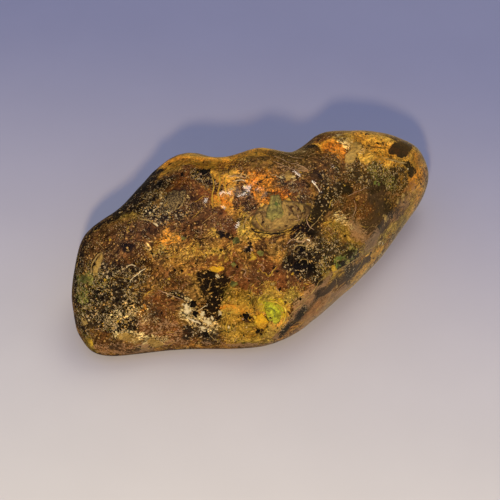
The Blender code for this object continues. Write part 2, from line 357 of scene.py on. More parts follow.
class NodeBench:
    """Short calls for laying out a shader node tree."""

    usual_low = 0.30  # noise seldom goes under this
    usual_high = 0.70  # nor over this

    def __init__(self, tree: NodeTree) -> None:
        """Works on this tree."""
        self.tree = tree

    def add(self, kind: str, settings: dict | None = None, **inputs: Fed) -> Node:
        """Adds a node.

        Args:
            kind: The node's type name, without the ShaderNode prefix.
            settings: Properties of the node itself.
            **inputs: Socket names, spaces written as underscores, with a value or a socket to link.

        Returns:
            The new node.
        """
        node = self.tree.nodes.new("ShaderNode" + kind)
        for name, value in (settings or {}).items():
            setattr(node, name, value)
        for name, value in inputs.items():
            self.feed(node.inputs[name.replace("_", " ")], value)
        return node

    def feed(self, socket: NodeSocket, value: Fed) -> None:
        """Links a socket, or sets the socket's own value.

        Args:
            socket: The input socket.
            value: A socket to link it to, or its own value.
        """
        if isinstance(value, NodeSocket):
            self.tree.links.new(value, socket)
        else:
            socket.default_value = value

    def math(self, operation: str, first: Fed, second: Fed = 0.0, clamp: bool = False) -> NodeSocket:
        """The result of a Math node.

        Args:
            operation: The node's operation.
            first: First value or socket.
            second: Second value or socket.
            clamp: Keeps the result between 0 and 1.

        Returns:
            The result socket.
        """
        node = self.add("Math", {"operation": operation, "use_clamp": clamp})
        self.feed(node.inputs[0], first)
        self.feed(node.inputs[1], second)
        return node.outputs[0]

    def vector(self, operation: str, first: Fed, second: Fed) -> NodeSocket:
        """The result of a Vector Math node.

        Args:
            operation: The node's operation.
            first: First vector or socket.
            second: Second vector or socket.

        Returns:
            The result socket.
        """
        node = self.add("VectorMath", {"operation": operation})
        self.feed(node.inputs[0], first)
        self.feed(node.inputs[1], second)
        return node.outputs[0]

    def dot(self, first: Fed, second: Fed) -> NodeSocket:
        """How far the first vector reaches along the second."""
        return self.vector("DOT_PRODUCT", first, second).node.outputs["Value"]

    def emboss(self, shader: Node, strength: float, distance: float, height: NodeSocket) -> None:
        """Gives a shader a fine relief.

        Args:
            shader: The shader's node.
            strength: How much of the relief shows, from 0 to 1.
            distance: How high it stands, in metres.
            height: The relief's height, from 0 to 1.
        """
        bump = self.add("Bump", Strength=strength, Distance=distance, Height=height)
        self.feed(shader.inputs["Normal"], bump.outputs[0])

    def swing(self, value: Fed, size: float) -> NodeSocket:
        """A noise value turned into a swing about 0, this large."""
        return self.math("MULTIPLY", self.math("SUBTRACT", value, 0.5), size)

    def mix(self, factor: Fed, first: Fed, second: Fed, blend: str = "MIX") -> NodeSocket:
        """The colour that a Mix node gives.

        Args:
            factor: How much of the second colour, a value or a socket.
            first: First colour or socket.
            second: Second colour or socket.
            blend: The blend mode.

        Returns:
            The colour socket.
        """
        node = self.add("Mix", {"data_type": "RGBA", "blend_type": blend})
        self.feed(node.inputs[0], factor)
        self.feed(node.inputs[6], first)
        self.feed(node.inputs[7], second)
        return node.outputs[2]

    def band(self, value: Fed, low: float, high: float) -> NodeSocket:
        """A smooth step of a value.

        Args:
            value: The value or its socket.
            low: Where the step is still 0.
            high: Where it has become 1.

        Returns:
            The step's socket.
        """
        node = self.add("MapRange", {"interpolation_type": "SMOOTHSTEP"}, Value=value)
        self.feed(node.inputs["From Min"], low)
        self.feed(node.inputs["From Max"], high)
        return node.outputs[0]

    def spread(self, value: Fed, low: float, high: float) -> NodeSocket:
        """A noise value stretched from its usual range.

        Args:
            value: The noise value's socket.
            low: What the usual range's low end becomes.
            high: What its high end becomes.

        Returns:
            The stretched value's socket.
        """
        node = self.add("MapRange", Value=value)
        node.inputs["From Min"].default_value = self.usual_low
        node.inputs["From Max"].default_value = self.usual_high
        node.inputs["To Min"].default_value = low
        node.inputs["To Max"].default_value = high
        return node.outputs[0]

    def channels(self, colour: NodeSocket) -> tuple[NodeSocket, ...]:
        """The three channels of a colour socket."""
        return tuple(self.add("SeparateColor", Color=colour).outputs)

    def place(self, tree: NodeTree, **inputs: Fed) -> Node:
        """Places a node group.

        Args:
            tree: The group's tree.
            **inputs: Socket names with a value or a socket to link.

        Returns:
            The group node.
        """
        node = self.tree.nodes.new("ShaderNodeGroup")
        node.node_tree = tree
        for name, value in inputs.items():
            self.feed(node.inputs[name], value)
        return node


@dataclass(frozen=True)
class GroupSocket:
    """A socket on the outside of a node group."""

    name: str
    kind: str  # Float, Color or Vector
    value: float | None = None


def new_group(
    name: str, inputs: tuple[GroupSocket, ...], outputs: tuple[GroupSocket, ...]
) -> tuple[NodeBench, Node, Node]:
    """Makes an empty shader node group.

    Args:
        name: The group's name.
        inputs: Its input sockets.
        outputs: Its output sockets.

    Returns:
        Its bench, its input node and its output node.
    """
    tree = bpy.data.node_groups.new(name, "ShaderNodeTree")
    for socket in inputs:
        made = tree.interface.new_socket(
            socket.name, in_out="INPUT", socket_type="NodeSocket" + socket.kind
        )
        if socket.value is not None:
            made.default_value = socket.value
    for socket in outputs:
        tree.interface.new_socket(socket.name, in_out="OUTPUT", socket_type="NodeSocket" + socket.kind)
    return NodeBench(tree), tree.nodes.new("NodeGroupInput"), tree.nodes.new("NodeGroupOutput")


class Effects:
    """The shader node groups that several finishes share, each built once."""

    def __init__(self) -> None:
        """Builds the groups."""
        self.grit = self.make_grit()
        self.tint = self.make_tint()
        self.specks = self.make_specks()

    def make_grit(self) -> NodeTree:
        """Three sizes of noise, carried along by the slow flow of the resin.

        Returns:
            The group: from a Vector it makes Coarse, Mid and Fine colours of independent noise, and the
            Place that the flow moved it to.
        """
        bench, entry, leave = new_group(
            "flowing_grit",
            (
                GroupSocket("Vector", "Vector"),
                GroupSocket("Swing", "Float", 0.006),
                GroupSocket("Coarse Scale", "Float", 330.0),
                GroupSocket("Mid Scale", "Float", 1050.0),
                GroupSocket("Fine Scale", "Float", 3300.0),
            ),
            (
                GroupSocket("Coarse", "Color"),
                GroupSocket("Mid", "Color"),
                GroupSocket("Fine", "Color"),
                GroupSocket("Place", "Vector"),
            ),
        )
        given = entry.outputs
        current = bench.add("TexNoise", Vector=given["Vector"], Scale=130.0, Detail=2.0, Roughness=0.5)
        drift = bench.vector("SUBTRACT", current.outputs["Color"], (0.5, 0.5, 0.5))
        scaled = bench.add("VectorMath", {"operation": "SCALE"}, Scale=given["Swing"])
        bench.feed(scaled.inputs[0], drift)
        carried = bench.vector("ADD", given["Vector"], scaled.outputs[0])
        stretched = bench.vector("MULTIPLY", carried, (0.58, 1.0, 1.1))
        sizes = (("Coarse", 6.0, 0.62), ("Mid", 5.0, 0.66), ("Fine", 3.0, 0.70))
        for size, detail, roughness in sizes:
            layer = bench.add("TexNoise", Vector=stretched, Detail=detail, Roughness=roughness)
            bench.feed(layer.inputs["Scale"], given[size + " Scale"])
            bench.feed(leave.inputs[size], layer.outputs["Color"])
        bench.feed(leave.inputs["Place"], stretched)
        return bench.tree

    def make_tint(self) -> NodeTree:
        """A tint laid over another colour, with ragged edges that break up into flecks.

        Returns:
            The group: its Colour, and the Mask of where the tint lies.
        """
        bench, entry, leave = new_group(
            "ragged_tint",
            (
                GroupSocket("Under", "Color"),
                GroupSocket("Light", "Color"),
                GroupSocket("Dark", "Color"),
                GroupSocket("Mask", "Float"),
                GroupSocket("Coarse", "Float", 0.5),
                GroupSocket("Mid", "Float", 0.5),
                GroupSocket("Fine", "Float", 0.5),
            ),
            (GroupSocket("Colour", "Color"), GroupSocket("Mask", "Float")),
        )
        given = entry.outputs
        swing = bench.math("ADD", bench.swing(given["Coarse"], 1.2), bench.swing(given["Mid"], 1.4))
        swing = bench.math("ADD", swing, bench.swing(given["Fine"], 2.8))
        reach = bench.math("MULTIPLY", given["Mask"], 3.0, clamp=True)
        ragged = bench.math("ADD", given["Mask"], bench.math("MULTIPLY", swing, reach))
        lies = bench.band(ragged, 0.32, 0.68)
        half_fine = bench.math("MULTIPLY", given["Fine"], 0.5)
        lit = bench.math("ADD", half_fine, bench.math("MULTIPLY", given["Mid"], 0.5))
        own = bench.mix(bench.band(lit, 0.40, 0.60), given["Dark"], given["Light"])
        bench.feed(leave.inputs["Colour"], bench.mix(lies, given["Under"], own))
        bench.feed(leave.inputs["Mask"], lies)
        return bench.tree

    def make_specks(self) -> NodeTree:
        """Separate ragged specks of debris.

        Returns:
            The group: the specks' Mask.
        """
        bench, entry, leave = new_group(
            "debris_specks",
            (
                GroupSocket("Vector", "Vector"),
                GroupSocket("Scale", "Float", 2500.0),
                GroupSocket("Share", "Float", 0.3),
            ),
            (GroupSocket("Mask", "Float"),),
        )
        given = entry.outputs
        shred = bench.add("TexNoise", Vector=given["Vector"], Scale=6000.0, Detail=2.0, Roughness=0.6)
        shift = bench.vector("SUBTRACT", shred.outputs["Color"], (0.5, 0.5, 0.5))
        small = bench.vector("MULTIPLY", shift, (0.0005, 0.0005, 0.0005))
        cells = bench.add("TexVoronoi", {"feature": "F1"}, Scale=given["Scale"])
        bench.feed(cells.inputs["Vector"], bench.vector("ADD", given["Vector"], small))
        lot, size, _ = bench.channels(cells.outputs["Color"])
        chosen = bench.math("LESS_THAN", lot, given["Share"])
        radius = bench.math("ADD", bench.math("MULTIPLY", size, 0.35), 0.22)
        near = bench.band(bench.math("SUBTRACT", radius, cells.outputs["Distance"]), -0.04, 0.08)
        bench.feed(leave.inputs["Mask"], bench.math("MULTIPLY", chosen, near))
        return bench.tree


def new_material(name: str) -> tuple[Material, NodeBench, Node, Node]:
    """Makes an empty node material.

    Args:
        name: The material's name.

    Returns:
        The material, its bench, its Principled node and its output node.
    """
    material = bpy.data.materials.new(name)
    material.use_nodes = True
    bench = NodeBench(material.node_tree)
    shader = material.node_tree.nodes["Principled BSDF"]
    output = material.node_tree.nodes["Material Output"]
    return material, bench, shader, output


@dataclass(frozen=True)
class ResinFinish:
    """Clear honey resin with a worn polish."""

    tint: Colour = (1.0, 0.995, 0.97, 1.0)
    absorbed: Colour = (0.95, 0.76, 0.25, 1.0)
    density: float = 290.0
    roughness: float = 0.045
    ripples: Range = (0.20, 0.00010)  # the relief's strength, and its height in metres
    passed: float = 0.96  # how much of the lamps' light goes straight in

    def material(self) -> Material:
        """Glass by plain values, with fine ripples in the polish and a plain absorption inside.

        Returns:
            The material.
        """
        material, bench, shader, output = new_material("clear_resin")
        place = bench.add("TexCoord").outputs["Object"]
        ripple = bench.add("TexNoise", Vector=place, Scale=620.0, Detail=2.0, Roughness=0.6)
        bench.emboss(shader, *self.ripples, ripple.outputs[0])
        shader.inputs["Base Color"].default_value = self.tint
        shader.inputs["Roughness"].default_value = self.roughness
        shader.inputs["IOR"].default_value = RESIN_INDEX
        shader.inputs["Transmission Weight"].default_value = 1.0
        lamps = bench.add("LightPath").outputs["Is Shadow Ray"]
        passing = bench.add("BsdfTransparent", Color=self.tint)
        mixed = bench.add("MixShader")
        bench.feed(mixed.inputs[0], bench.math("MULTIPLY", lamps, self.passed))
        bench.feed(mixed.inputs[1], shader.outputs[0])
        bench.feed(mixed.inputs[2], passing.outputs[0])
        bench.feed(output.inputs["Surface"], mixed.outputs[0])
        inside = bench.add("VolumeAbsorption", Color=self.absorbed, Density=self.density)
        bench.feed(output.inputs["Volume"], inside.outputs[0])
        return material


@dataclass(frozen=True)
class Paint:
    """The lighter and the darker colour of one tint, tone or pocket."""

    light: Colour
    dark: Colour


TINT_PAINTS = {
    Tint.GOLD: Paint((0.950, 0.691, 0.173, 1.0), (0.670, 0.410, 0.092, 1.0)),
    Tint.EMBER: Paint((0.970, 0.518, 0.097, 1.0), (0.583, 0.259, 0.050, 1.0)),
    Tint.OLIVE: Paint((0.468, 0.376, 0.096, 1.0), (0.215, 0.162, 0.044, 1.0)),
    Tint.RUST: Paint((0.238, 0.113, 0.053, 1.0), (0.092, 0.042, 0.025, 1.0)),
    Tint.UMBER: Paint((0.180, 0.100, 0.048, 1.0), (0.022, 0.013, 0.009, 1.0)),
    Tint.TAUPE: Paint((0.470, 0.330, 0.230, 1.0), (0.270, 0.183, 0.127, 1.0)),
    Tint.SMOKE: Paint((0.072, 0.048, 0.039, 1.0), (0.035, 0.024, 0.021, 1.0)),
    Tint.LIME: Paint((0.644, 0.595, 0.069, 1.0), (0.394, 0.355, 0.055, 1.0)),
    Tint.SOIL: Paint((0.036, 0.030, 0.029, 1.0), (0.003, 0.003, 0.004, 1.0)),
    Tint.PITCH: Paint((0.020, 0.014, 0.010, 1.0), (0.002, 0.002, 0.002, 1.0)),
    Tint.MOSS: Paint((0.394, 0.458, 0.164, 1.0), (0.062, 0.071, 0.040, 1.0)),
    Tint.CREAM: Paint((0.780, 0.720, 0.480, 1.0), (0.200, 0.150, 0.080, 1.0)),
}


@dataclass(frozen=True)
class CloudFinish:
    """Cloudy resin full of fine debris, tinted by the painted masks."""

    effects: Effects
    honey: Paint = Paint((0.478, 0.309, 0.092, 1.0), (0.238, 0.137, 0.049, 1.0))
    umber: Paint = Paint((0.176, 0.099, 0.045, 1.0), (0.026, 0.014, 0.009, 1.0))
    speck_dark: Colour = (0.024, 0.016, 0.011, 1.0)
    speck_tan: Colour = (0.779, 0.559, 0.232, 1.0)
    speck_pale: Colour = (0.60, 0.54, 0.44, 1.0)
    calm: tuple[tuple[Tint, float], ...] = (
        (Tint.SMOKE, 0.8),
        (Tint.TAUPE, 0.85),
        (Tint.RUST, 0.20),
        (Tint.GOLD, 0.35),
        (Tint.LIME, 0.60),
    )
    warm_stain: Colour = (1.07, 0.95, 0.80, 1.0)
    cool_stain: Colour = (0.86, 0.93, 1.00, 1.0)
    roughness: float = 0.75
    relief: Range = (0.5, 0.00020)  # strength, and height in metres

    def material(self) -> Material:
        """Marbled honey and umber with the tints over it and specks of debris all through.

        Returns:
            The material.
        """
        material, bench, shader, _ = new_material("cloudy_resin")
        place = bench.add("TexCoord").outputs["Object"]
        grit = bench.place(self.effects.grit, Vector=place)
        coarse = bench.channels(grit.outputs["Coarse"])
        mid = bench.channels(grit.outputs["Mid"])
        fine = bench.channels(grit.outputs["Fine"])
        marbled = bench.math("ADD", coarse[0], bench.swing(mid[0], 0.8))
        colour = bench.mix(bench.band(mid[1], 0.40, 0.60), self.honey.dark, self.honey.light)
        dark = bench.mix(bench.band(fine[1], 0.40, 0.60), self.umber.dark, self.umber.light)
        colour = bench.mix(bench.band(marbled, 0.47, 0.57), colour, dark)
        soil = None
        calm = 0.0
        for turn, (tint, paint) in enumerate(TINT_PAINTS.items()):
            mask = bench.add("Attribute", {"attribute_name": tint.value}).outputs["Fac"]
            lane = turn % 3
            layer = bench.place(
                self.effects.tint,
                Under=colour,
                Light=paint.light,
                Dark=paint.dark,
                Mask=mask,
                Coarse=coarse[lane],
                Mid=mid[(lane + turn // 3) % 3],
                Fine=fine[lane],
            )
            colour = layer.outputs["Colour"]
            if tint is Tint.SOIL:
                soil = layer.outputs["Mask"]
            for calm_tint, strength in self.calm:
                if tint is calm_tint:
                    stilled = bench.math("MULTIPLY", layer.outputs["Mask"], strength)
                    calm = bench.math("MAXIMUM", calm, stilled)
        lively = bench.math("SUBTRACT", 1.0, calm)
        stain = bench.mix(bench.band(coarse[1], 0.36, 0.64), self.cool_stain, self.warm_stain)
        colour = bench.mix(1.0, colour, stain, "MULTIPLY")
        fine_shade = bench.spread(fine[2], 0.14, 1.90)
        shade = bench.math("MULTIPLY", fine_shade, bench.spread(mid[2], 0.25, 1.80))
        shaded = bench.mix(1.0, colour, shade, "MULTIPLY")
        colour = bench.mix(lively, colour, shaded)
        for scale, share, paint in ((2700.0, 0.22, self.speck_dark), (3000.0, 0.17, self.speck_tan)):
            specks = bench.place(self.effects.specks, Vector=place, Scale=scale, Share=share)
            shown = bench.math("MULTIPLY", specks.outputs["Mask"], lively)
            colour = bench.mix(bench.math("MULTIPLY", shown, 0.9), colour, paint)
        pale = bench.place(self.effects.specks, Vector=place, Scale=2700.0, Share=0.36)
        pale = bench.math("MULTIPLY", pale.outputs["Mask"], bench.math("MULTIPLY", soil, 0.9))
        colour = bench.mix(pale, colour, self.speck_pale)
        bench.feed(shader.inputs["Base Color"], colour)
        shader.inputs["Roughness"].default_value = self.roughness
        shader.inputs["Specular IOR Level"].default_value = 0.0
        height = bench.math("ADD", mid[0], bench.math("MULTIPLY", fine[0], 0.5))
        bench.emboss(shader, *self.relief, height)
        return material


@dataclass(frozen=True)
class LensFinish:
    """A pocket of clearer resin, smooth and softly mottled."""

    effects: Effects
    name: str
    paint: Paint
    contrast: float
    fleck: Colour = (0.052, 0.034, 0.020, 1.0)
    roughness: float = 0.45
    relief: Range = (0.4, 0.00012)  # strength, and height in metres

    def material(self) -> Material:
        """Soft mottling from the light colour to the dark one, with a few flecks.

        Returns:
            The material.
        """
        material, bench, shader, _ = new_material(self.name)
        place = bench.add("TexCoord").outputs["Object"]
        grit = bench.place(self.effects.grit, Vector=place)
        coarse = bench.channels(grit.outputs["Coarse"])[0]
        mid = bench.channels(grit.outputs["Mid"])[1]
        fine = bench.channels(grit.outputs["Fine"])[2]
        blotch = bench.math("ADD", coarse, bench.swing(mid, self.contrast))
        colour = bench.mix(bench.band(blotch, 0.36, 0.60), self.paint.dark, self.paint.light)
        specks = bench.place(self.effects.specks, Vector=grit.outputs["Place"], Scale=2600.0, Share=0.14)
        colour = bench.mix(bench.math("MULTIPLY", specks.outputs["Mask"], 0.6), colour, self.fleck)
        shade = bench.spread(fine, 1.0 - 0.5 * self.contrast, 1.0 + 0.5 * self.contrast)
        bench.feed(shader.inputs["Base Color"], bench.mix(1.0, colour, shade, "MULTIPLY"))
        shader.inputs["Roughness"].default_value = self.roughness
        bench.emboss(shader, *self.relief, mid)
        return material


@dataclass(frozen=True)
class NetFinish:
    """A sealed flake of dark matter under a net of pale healed cracks."""

    effects: Effects
    ground: Colour = (0.055, 0.040, 0.024, 1.0)
    line: Colour = (0.46, 0.38, 0.20, 1.0)
    roughness: float = 0.6
    relief: Range = (0.5, 0.00015)  # strength, and height in metres

    def material(self) -> Material:
        """Pale ragged lines between small dark cells.

        Returns:
            The material.
        """
        material, bench, shader, _ = new_material("netted_flake")
        place = bench.add("TexCoord").outputs["Object"]
        grit = bench.place(self.effects.grit, Vector=place)
        mid = grit.outputs["Mid"]
        shift = bench.vector("SUBTRACT", mid, (0.5, 0.5, 0.5))
        shift = bench.vector("MULTIPLY", shift, (0.0016, 0.0016, 0.0016))
        cells = bench.add("TexVoronoi", {"feature": "DISTANCE_TO_EDGE"}, Scale=2300.0)
        bench.feed(cells.inputs["Vector"], bench.vector("ADD", place, shift))
        fine = bench.channels(grit.outputs["Fine"])[0]
        edge = bench.math("ADD", cells.outputs["Distance"], bench.swing(fine, 0.60))
        colour = bench.mix(bench.band(edge, 0.02, 0.09), self.line, self.ground)
        shade = bench.spread(fine, 0.5, 1.5)
        bench.feed(shader.inputs["Base Color"], bench.mix(1.0, colour, shade, "MULTIPLY"))
        shader.inputs["Roughness"].default_value = self.roughness
        bench.emboss(shader, *self.relief, cells.outputs["Distance"])
        return material


TONE_PAINTS = {
    Tone.BLACK: Paint((0.013, 0.011, 0.009, 1.0), (0.002, 0.002, 0.002, 1.0)),
    Tone.BROWN: Paint((0.125, 0.071, 0.033, 1.0), (0.041, 0.024, 0.012, 1.0)),
    Tone.GREEN: Paint((0.229, 0.343, 0.096, 1.0), (0.093, 0.143, 0.055, 1.0)),
    Tone.YELLOW: Paint((0.836, 0.664, 0.109, 1.0), (0.498, 0.320, 0.055, 1.0)),
    Tone.TAN: Paint((0.600, 0.490, 0.245, 1.0), (0.330, 0.240, 0.095, 1.0)),
    Tone.PINK: Paint((0.800, 0.620, 0.520, 1.0), (0.380, 0.250, 0.190, 1.0)),
    Tone.CREAM: Paint((0.970, 0.950, 0.830, 1.0), (0.780, 0.720, 0.540, 1.0)),
}


@dataclass(frozen=True)
class DebrisFinish:
    """Small hard things of one tone: grains, threads and crumbs."""

    effects: Effects
    tone: Tone
    roughness: float = 0.6
    gloss: float = 0.02
    relief: Range = (0.4, 0.00008)  # strength, and height in metres

    def material(self) -> Material:
        """Mottled from the tone's dark colour to its light one.

        Returns:
            The material.
        """
        material, bench, shader, _ = new_material("debris_" + self.tone.value)
        paint = TONE_PAINTS[self.tone]
        place = bench.add("TexCoord").outputs["Object"]
        grit = bench.place(self.effects.grit, Vector=place)
        mid = bench.channels(grit.outputs["Mid"])[0]
        fine = bench.channels(grit.outputs["Fine"])[1]
        lit = bench.math("MULTIPLY", mid, 0.6)
        lit = bench.math("ADD", lit, bench.math("MULTIPLY", fine, 0.4))
        colour = bench.mix(bench.band(lit, 0.38, 0.60), paint.dark, paint.light)
        bench.feed(shader.inputs["Base Color"], colour)
        shader.inputs["Roughness"].default_value = self.roughness
        shader.inputs["Specular IOR Level"].default_value = self.gloss
        bench.emboss(shader, *self.relief, fine)
        return material


@dataclass(frozen=True)
class BarkFinish:
    """Dark fibrous bark."""

    effects: Effects
    ridge: Colour = (0.056, 0.020, 0.006, 1.0)
    furrow: Colour = (0.007, 0.003, 0.002, 1.0)
    drawn_out: Triple = (0.22, 1.0, 1.0)  # the fibres run along the first axis
    roughness: float = 0.7
    relief: Range = (0.7, 0.00015)  # strength, and height in metres

    def material(self) -> Material:
        """Fine fibres that run along the chip, ridges lighter than furrows.

        Returns:
            The material.
        """
        material, bench, shader, _ = new_material("bark")
        place = bench.add("TexCoord").outputs["Object"]
        drawn = bench.vector("MULTIPLY", place, self.drawn_out)
        fibre = bench.add("TexNoise", Vector=drawn, Scale=2600.0, Detail=4.0, Roughness=0.6)
        grit = bench.place(self.effects.grit, Vector=place)
        mid = bench.channels(grit.outputs["Mid"])[2]
        coarse = bench.math("MULTIPLY", fibre.outputs[0], 0.6)
        lit = bench.math("ADD", coarse, bench.math("MULTIPLY", mid, 0.4))
        colour = bench.mix(bench.band(lit, 0.42, 0.64), self.furrow, self.ridge)
        bench.feed(shader.inputs["Base Color"], colour)
        shader.inputs["Roughness"].default_value = self.roughness
        bench.emboss(shader, *self.relief, lit)
        return material


@dataclass(frozen=True)
class TableFinish:
    """A plain pale matt tabletop, painted lighter and warmer in front and darker and cooler towards the
    back: painted light and shade where the lamps' light falls off across it.
    """

    effects: Effects
    # painted light and shade: the front colour is the lit one, the back colour the shaded and cooler one
    front: Colour = (0.620, 0.625, 0.605, 1.0)
    middle: Colour = (0.475, 0.465, 0.525, 1.0)
    back: Colour = (0.245, 0.262, 0.405, 1.0)
    reach: float = 0.045  # metres from the middle to the front and back colours
    roughness: float = 0.8
    gloss: float = 0.2
    relief: Range = (0.05, 0.0001)  # strength, and height in metres
    backward: Triple = (0.683, 0.731, 0.0)  # level, away from the camera

    def material(self) -> Material:
        """Matt paint with painted light and shade, lighter in front and darker towards the back, and the
        faintest mottle.

        Returns:
            The material.
        """
        material, bench, shader, _ = new_material("pale_table")
        place = bench.add("TexCoord").outputs["Object"]
        away = bench.dot(place, self.backward)
        midway = bench.band(away, -1.6 * self.reach, 0.6 * self.reach)
        colour = bench.mix(midway, self.front, self.middle)
        colour = bench.mix(bench.band(away, -0.4 * self.reach, 1.4 * self.reach), colour, self.back)
        mottle = bench.add("TexNoise", Vector=place, Scale=60.0, Detail=3.0)
        shade = bench.spread(mottle.outputs[0], 0.985, 1.015)
        bench.feed(shader.inputs["Base Color"], bench.mix(1.0, colour, shade, "MULTIPLY"))
        shader.inputs["Roughness"].default_value = self.roughness
        shader.inputs["Specular IOR Level"].default_value = self.gloss
        grain = bench.place(self.effects.grit, Vector=place)
        bench.emboss(shader, *self.relief, grain.outputs["Mid"])
        return material


def link_mesh(name: str, mesh: Mesh, material: Material) -> Object:
    """Puts a mesh in the scene as an object with one material.

    Args:
        name: The object's name.
        mesh: Its mesh.
        material: The material for all its faces.

    Returns:
        The new object.
    """
    mesh.name = name
    mesh.materials.clear()
    mesh.materials.append(material)
    made = bpy.data.objects.new(name, mesh)
    bpy.context.scene.collection.objects.link(made)
    return made


def seat_piece(name: str, mesh: Mesh, material: Material) -> Object:
    """Makes a piece of the lump, which rides with it.

    Args:
        name: The piece's name.
        mesh: Its mesh.
        material: Its material.

    Returns:
        The piece.
    """
    piece = link_mesh(name, mesh, material)
    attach(piece, BODY)
    return piece


def report(*pieces: Object) -> None:
    """Logs each piece's name and its number of faces."""
    for piece in pieces:
        LOG.info("%s: %d faces", piece.name, len(piece.data.polygons))


def points_of(mesh: Mesh) -> np.ndarray:
    """Reads a mesh's points.

    Args:
        mesh: The mesh.

    Returns:
        Rows of three coordinates, in metres.
    """
    flat = np.empty(len(mesh.vertices) * 3, np.float32)
    mesh.vertices.foreach_get("co", flat)
    return flat.reshape(-1, 3).astype(float)


def normals_of(mesh: Mesh) -> np.ndarray:
    """Reads a mesh's normals at its points.

    Args:
        mesh: The mesh.

    Returns:
        Rows of unit vectors.
    """
    flat = np.empty(len(mesh.vertices) * 3, np.float32)
    mesh.vertex_normals.foreach_get("vector", flat)
    return flat.reshape(-1, 3).astype(float)


def set_points(mesh: Mesh, points: np.ndarray) -> None:
    """Moves the mesh's points."""
    mesh.vertices.foreach_set("co", points.astype(np.float32).ravel())
    mesh.update()


def face_outward(mesh: Mesh) -> None:
    """Turns the faces of closed shapes outward.

    Args:
        mesh: The mesh to change.
    """
    whole = bmesh.new()
    whole.from_mesh(mesh)
    bmesh.ops.recalc_face_normals(whole, faces=whole.faces)
    whole.to_mesh(mesh)
    whole.free()


def nearness(
    points: np.ndarray, start: np.ndarray, end: np.ndarray, radius: float, fade: Range
) -> np.ndarray:
    """How near each point is to the stretch between two places.

    Args:
        points: The points.
        start: Where the stretch starts.
        end: Where it ends.
        radius: The stretch's radius in metres.
        fade: Where the fade ends and where it starts, in radii.

    Returns:
        1 near the stretch, 0 away from it and smooth between, for each point.
    """
    along = end - start
    share = np.clip((points - start) @ along / max(along @ along, 1e-12), 0, 1)
    distance = np.linalg.norm(points - start - share[:, None] * along, axis=1)
    return smooth_step(-distance / radius, -fade[0], -fade[1])


def draw_one(lot: np.random.Generator, shares: dict[Enum, float]) -> Enum:
    """Draws one option.

    Args:
        lot: The random draws.
        shares: How likely each option is.

    Returns:
        The option.
    """
    options = tuple(shares)
    return options[lot.choice(len(options), p=tuple(shares.values()))]


def noise_at(points: np.ndarray, size: float, seed: float) -> np.ndarray:
    """Smooth noise about 0 at each point.

    Args:
        points: Places in metres.
        size: How large the noise's features are, in millimetres.
        seed: Shifts the noise, so that two uses differ.

    Returns:
        One value for each point.
    """
    shift = np.array((seed * 13.7, seed * 7.3, seed * 3.1))
    return np.array([noise.noise(place) for place in (points / (size * MM) + shift).tolist()])


def smooth_step(values: np.ndarray, low: float, high: float) -> np.ndarray:
    """0 below low, 1 above high, and smooth between."""
    share = np.clip((values - low) / (high - low), 0, 1)
    return share * share * (3 - 2 * share)


def curve_through(marks: np.ndarray, steps: int, closed: bool = False) -> np.ndarray:
    """A smooth curve through given marks.

    Args:
        marks: Rows of coordinates.
        steps: Points on each stretch between two marks.
        closed: Joins the last mark to the first.

    Returns:
        The curve's points as rows.
    """
    count = len(marks)
    spans = count if closed else count - 1
    curve = []
    for span in range(spans):
        if closed:
            before, start, end, after = (marks[(span + shift) % count] for shift in (-1, 0, 1, 2))
        else:
            start, end = marks[span], marks[span + 1]
            before = marks[max(span - 1, 0)]
            after = marks[min(span + 2, count - 1)]
        for step in range(steps):
            t = step / steps
            curve.append(
                0.5
                * (
                    2 * start
                    + (end - before) * t
                    + (2 * before - 5 * start + 4 * end - after) * t**2
                    + (3 * start - before - 3 * end + after) * t**3
                )
            )
    if not closed:
        curve.append(marks[-1])
    return np.array(curve)


@dataclass
class Heap:
    """Points and triangles of many small things, gathered before they become one mesh."""

    points: list[np.ndarray] = field(default_factory=list)
    faces: list[np.ndarray] = field(default_factory=list)
    count: int = 0

    def add(self, points: np.ndarray, faces: np.ndarray) -> None:
        """Adds one thing.

        Args:
            points: Its points.
            faces: Its triangles, counted from its own first point.
        """
        self.points.append(points)
        self.faces.append(faces + self.count)
        self.count += len(points)

    def mesh(self, name: str) -> Mesh:
        """Makes one mesh of all that was gathered.

        Args:
            name: The mesh's name.

        Returns:
            The mesh.
        """
        mesh = bpy.data.meshes.new(name)
        mesh.from_pydata(np.concatenate(self.points), [], np.concatenate(self.faces))
        return mesh


def seat_heaps(kind: str, heaps: dict[Tone, Heap], effects: Effects) -> list[Object]:
    """Makes a piece of each tone's heap.

    Args:
        kind: What the pieces' names start with.
        heaps: What was gathered in each tone.
        effects: The shared node groups.

    Returns:
        The pieces. A tone with nothing in it has none.
    """
    pieces = []
    for tone, heap in heaps.items():
        if heap.count:
            name = f"{kind}_{tone.value}"
            mesh = heap.mesh(name)
            mesh.shade_smooth()
            pieces.append(seat_piece(name, mesh, DebrisFinish(effects, tone).material()))
    return pieces


def even_copy(source: Mesh, voxel: float, smoothing: int) -> Mesh:
    """A closed mesh as an even fine one.

    Args:
        source: The mesh.
        voxel: The new faces' side in metres.
        smoothing: Rounds of smoothing afterwards.

    Returns:
        A new mesh.
    """
    guide = bpy.data.objects.new("guide", source)
    bpy.context.scene.collection.objects.link(guide)
    even = guide.modifiers.new("Even", "REMESH")
    even.mode = "VOXEL"
    even.voxel_size = voxel
    worn = guide.modifiers.new("Worn", "SMOOTH")
    worn.factor = 0.5
    worn.iterations = smoothing
    graph = bpy.context.evaluated_depsgraph_get()
    mesh = bpy.data.meshes.new_from_object(guide.evaluated_get(graph))
    bpy.data.objects.remove(guide, do_unlink=True)
    return mesh


@dataclass(frozen=True)
class Nick:
    """A small worn facet between two places that the camera sees, turned so that it catches the light."""

    start: Pixel
    end: Pixel
    width: float  # millimetres


